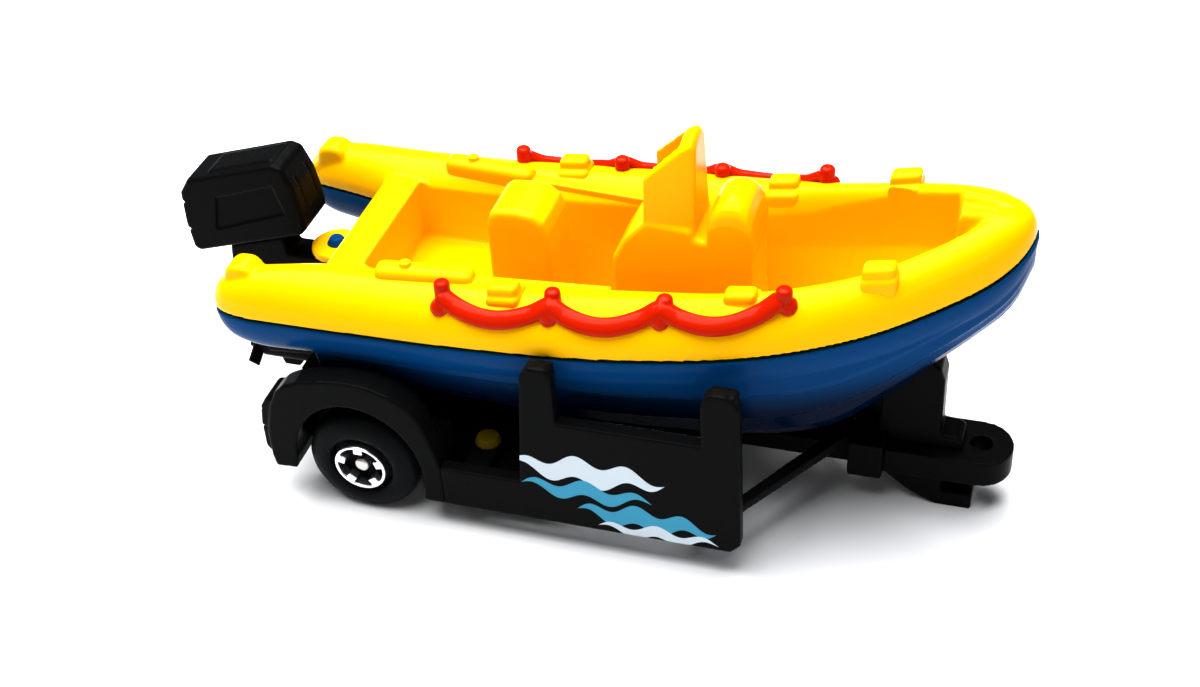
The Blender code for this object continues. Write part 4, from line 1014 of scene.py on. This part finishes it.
def make_guard(side_name, side):
    y0, y1 = sorted((side * 11.6, side * 14.85))
    grooves = [box(-10.0, -8.9, y0 - 0.5, y1 + 0.5, z - 0.14, z + 0.14) for z in (10.3, 8.3)]
    tube = half_tube(side, True)
    bmesh.ops.translate(tube, vec=Vector((0, 0, -0.2)) * MM, verts=tube.verts)
    lamp = soften(side_plate(LAMP_SIDE, y0, y1), 0.2)
    guard = mould(f"arched_guard_{side_name}", [guard_body(side), lamp], grooves + [tube], 0.13, 2)
    dress(guard, black, "boat_and_trailer", [f"mudguard_{side_name}"], 50000)


for side_name, side in SIDES:
    make_guard(side_name, side)
    soft_copy(f"side_board_{side_name}", f"side_panel_{side_name}", 0.13, 3, board_black,
              "boat_and_trailer", 60000)
    soft_copy(f"yellow_stud_{side_name}", f"deck_stud_{side_name}", 0.1, 2, stud_yellow_painted_shade,
              "boat_and_trailer", 5000)

# %% [markdown]
# A wheel is a turned shape: a few profile points are spun about the axle. The face has a
# recess, where the bright ring with its five teeth sits, and the shoulders are round. A wheel
# skips the moulding step, because a spun mesh is already smooth and exactly round.

# %% Wheels and axle
WHEEL_FACE_Y = 14.67
# Radius, and depth behind the wheel's face.
WHEEL_PROFILE = ((0.83, 0.9), (2.9, 0.92), (2.97, 0.8), (3.02, -0.05), (3.12, -0.2), (3.5, -0.3),
                 (3.9, -0.27), (4.3, -0.15), (4.7, 0.03), (4.95, 0.2), (5.13, 0.45), (5.22, 0.7),
                 (5.25, 0.95), (5.25, 2.4), (5.15, 2.9), (4.9, 3.2), (4.6, 3.3), (0.83, 3.3))
RING_PROFILE = ((2.14, 0.6), (2.14, -0.4), (2.2, -0.48), (2.4, -0.48), (2.46, -0.4), (2.46, 0.6))
TEETH = 5
AXLE_RADIUS, AXLE_HALF = 0.68, 14.8


def turned(profile, side):
    """A profile of radii and depths from the wheel's face, spun once about the axle."""
    bm = bmesh.new()
    points = [bm.verts.new(place(0, side * (WHEEL_FACE_Y - depth), WHEEL_RADIUS + radius))
              for radius, depth in profile]
    rim = [bm.edges.new((points[k], points[(k + 1) % len(points)])) for k in range(len(points))]
    bmesh.ops.spin(bm, geom=points + rim, cent=place(0, 0, WHEEL_RADIUS), axis=(0, 1, 0), angle=2 * math.pi,
                   steps=96, use_merge=True, use_duplicate=False)
    bmesh.ops.remove_doubles(bm, verts=bm.verts[:], dist=1e-7)
    bmesh.ops.recalc_face_normals(bm, faces=bm.faces[:])
    return bm


def tooth(side, angle):
    """Small block that points from the ring towards the axle."""
    y0, y1 = sorted((side * (WHEEL_FACE_Y + 0.4), side * (WHEEL_FACE_Y - 0.5)))
    bm = box(1.5, 2.25, y0, y1, -0.42, 0.42)
    bmesh.ops.translate(bm, vec=-place(0, 0, 0), verts=bm.verts)
    bmesh.ops.rotate(bm, matrix=Matrix.Rotation(math.radians(angle), 3, "Y"), verts=bm.verts)
    bmesh.ops.translate(bm, vec=place(0, 0, WHEEL_RADIUS), verts=bm.verts)
    return bm


for side_name, side in SIDES:
    wheel = link_mesh(f"turned_wheel_{side_name}", turned(WHEEL_PROFILE, side))
    dress(wheel, tyre, f"wheel_pair_{side_name}", [f"wheel_{side_name}"])
    wheel.data.set_sharp_from_angle(angle=math.radians(50.0))
    teeth = [tooth(side, 360.0 / TEETH * k - 90.0) for k in range(TEETH)]
    ring = mould(f"hub_ring_{side_name}", [turned(RING_PROFILE, side)] + teeth, [], 0.07, 1)
    dress(ring, foil, f"wheel_pair_{side_name}", [f"hub_trim_{side_name}"], 40000)
rod = bar(AXLE_RADIUS, (0, -AXLE_HALF, WHEEL_RADIUS), (0, AXLE_HALF, WHEEL_RADIUS), 32)
axle = mould("axle_wire", [soften(rod, 0.2)], [], 0.1, 1)
dress(axle, wire, "boat_and_trailer", ["axle"], 20000)
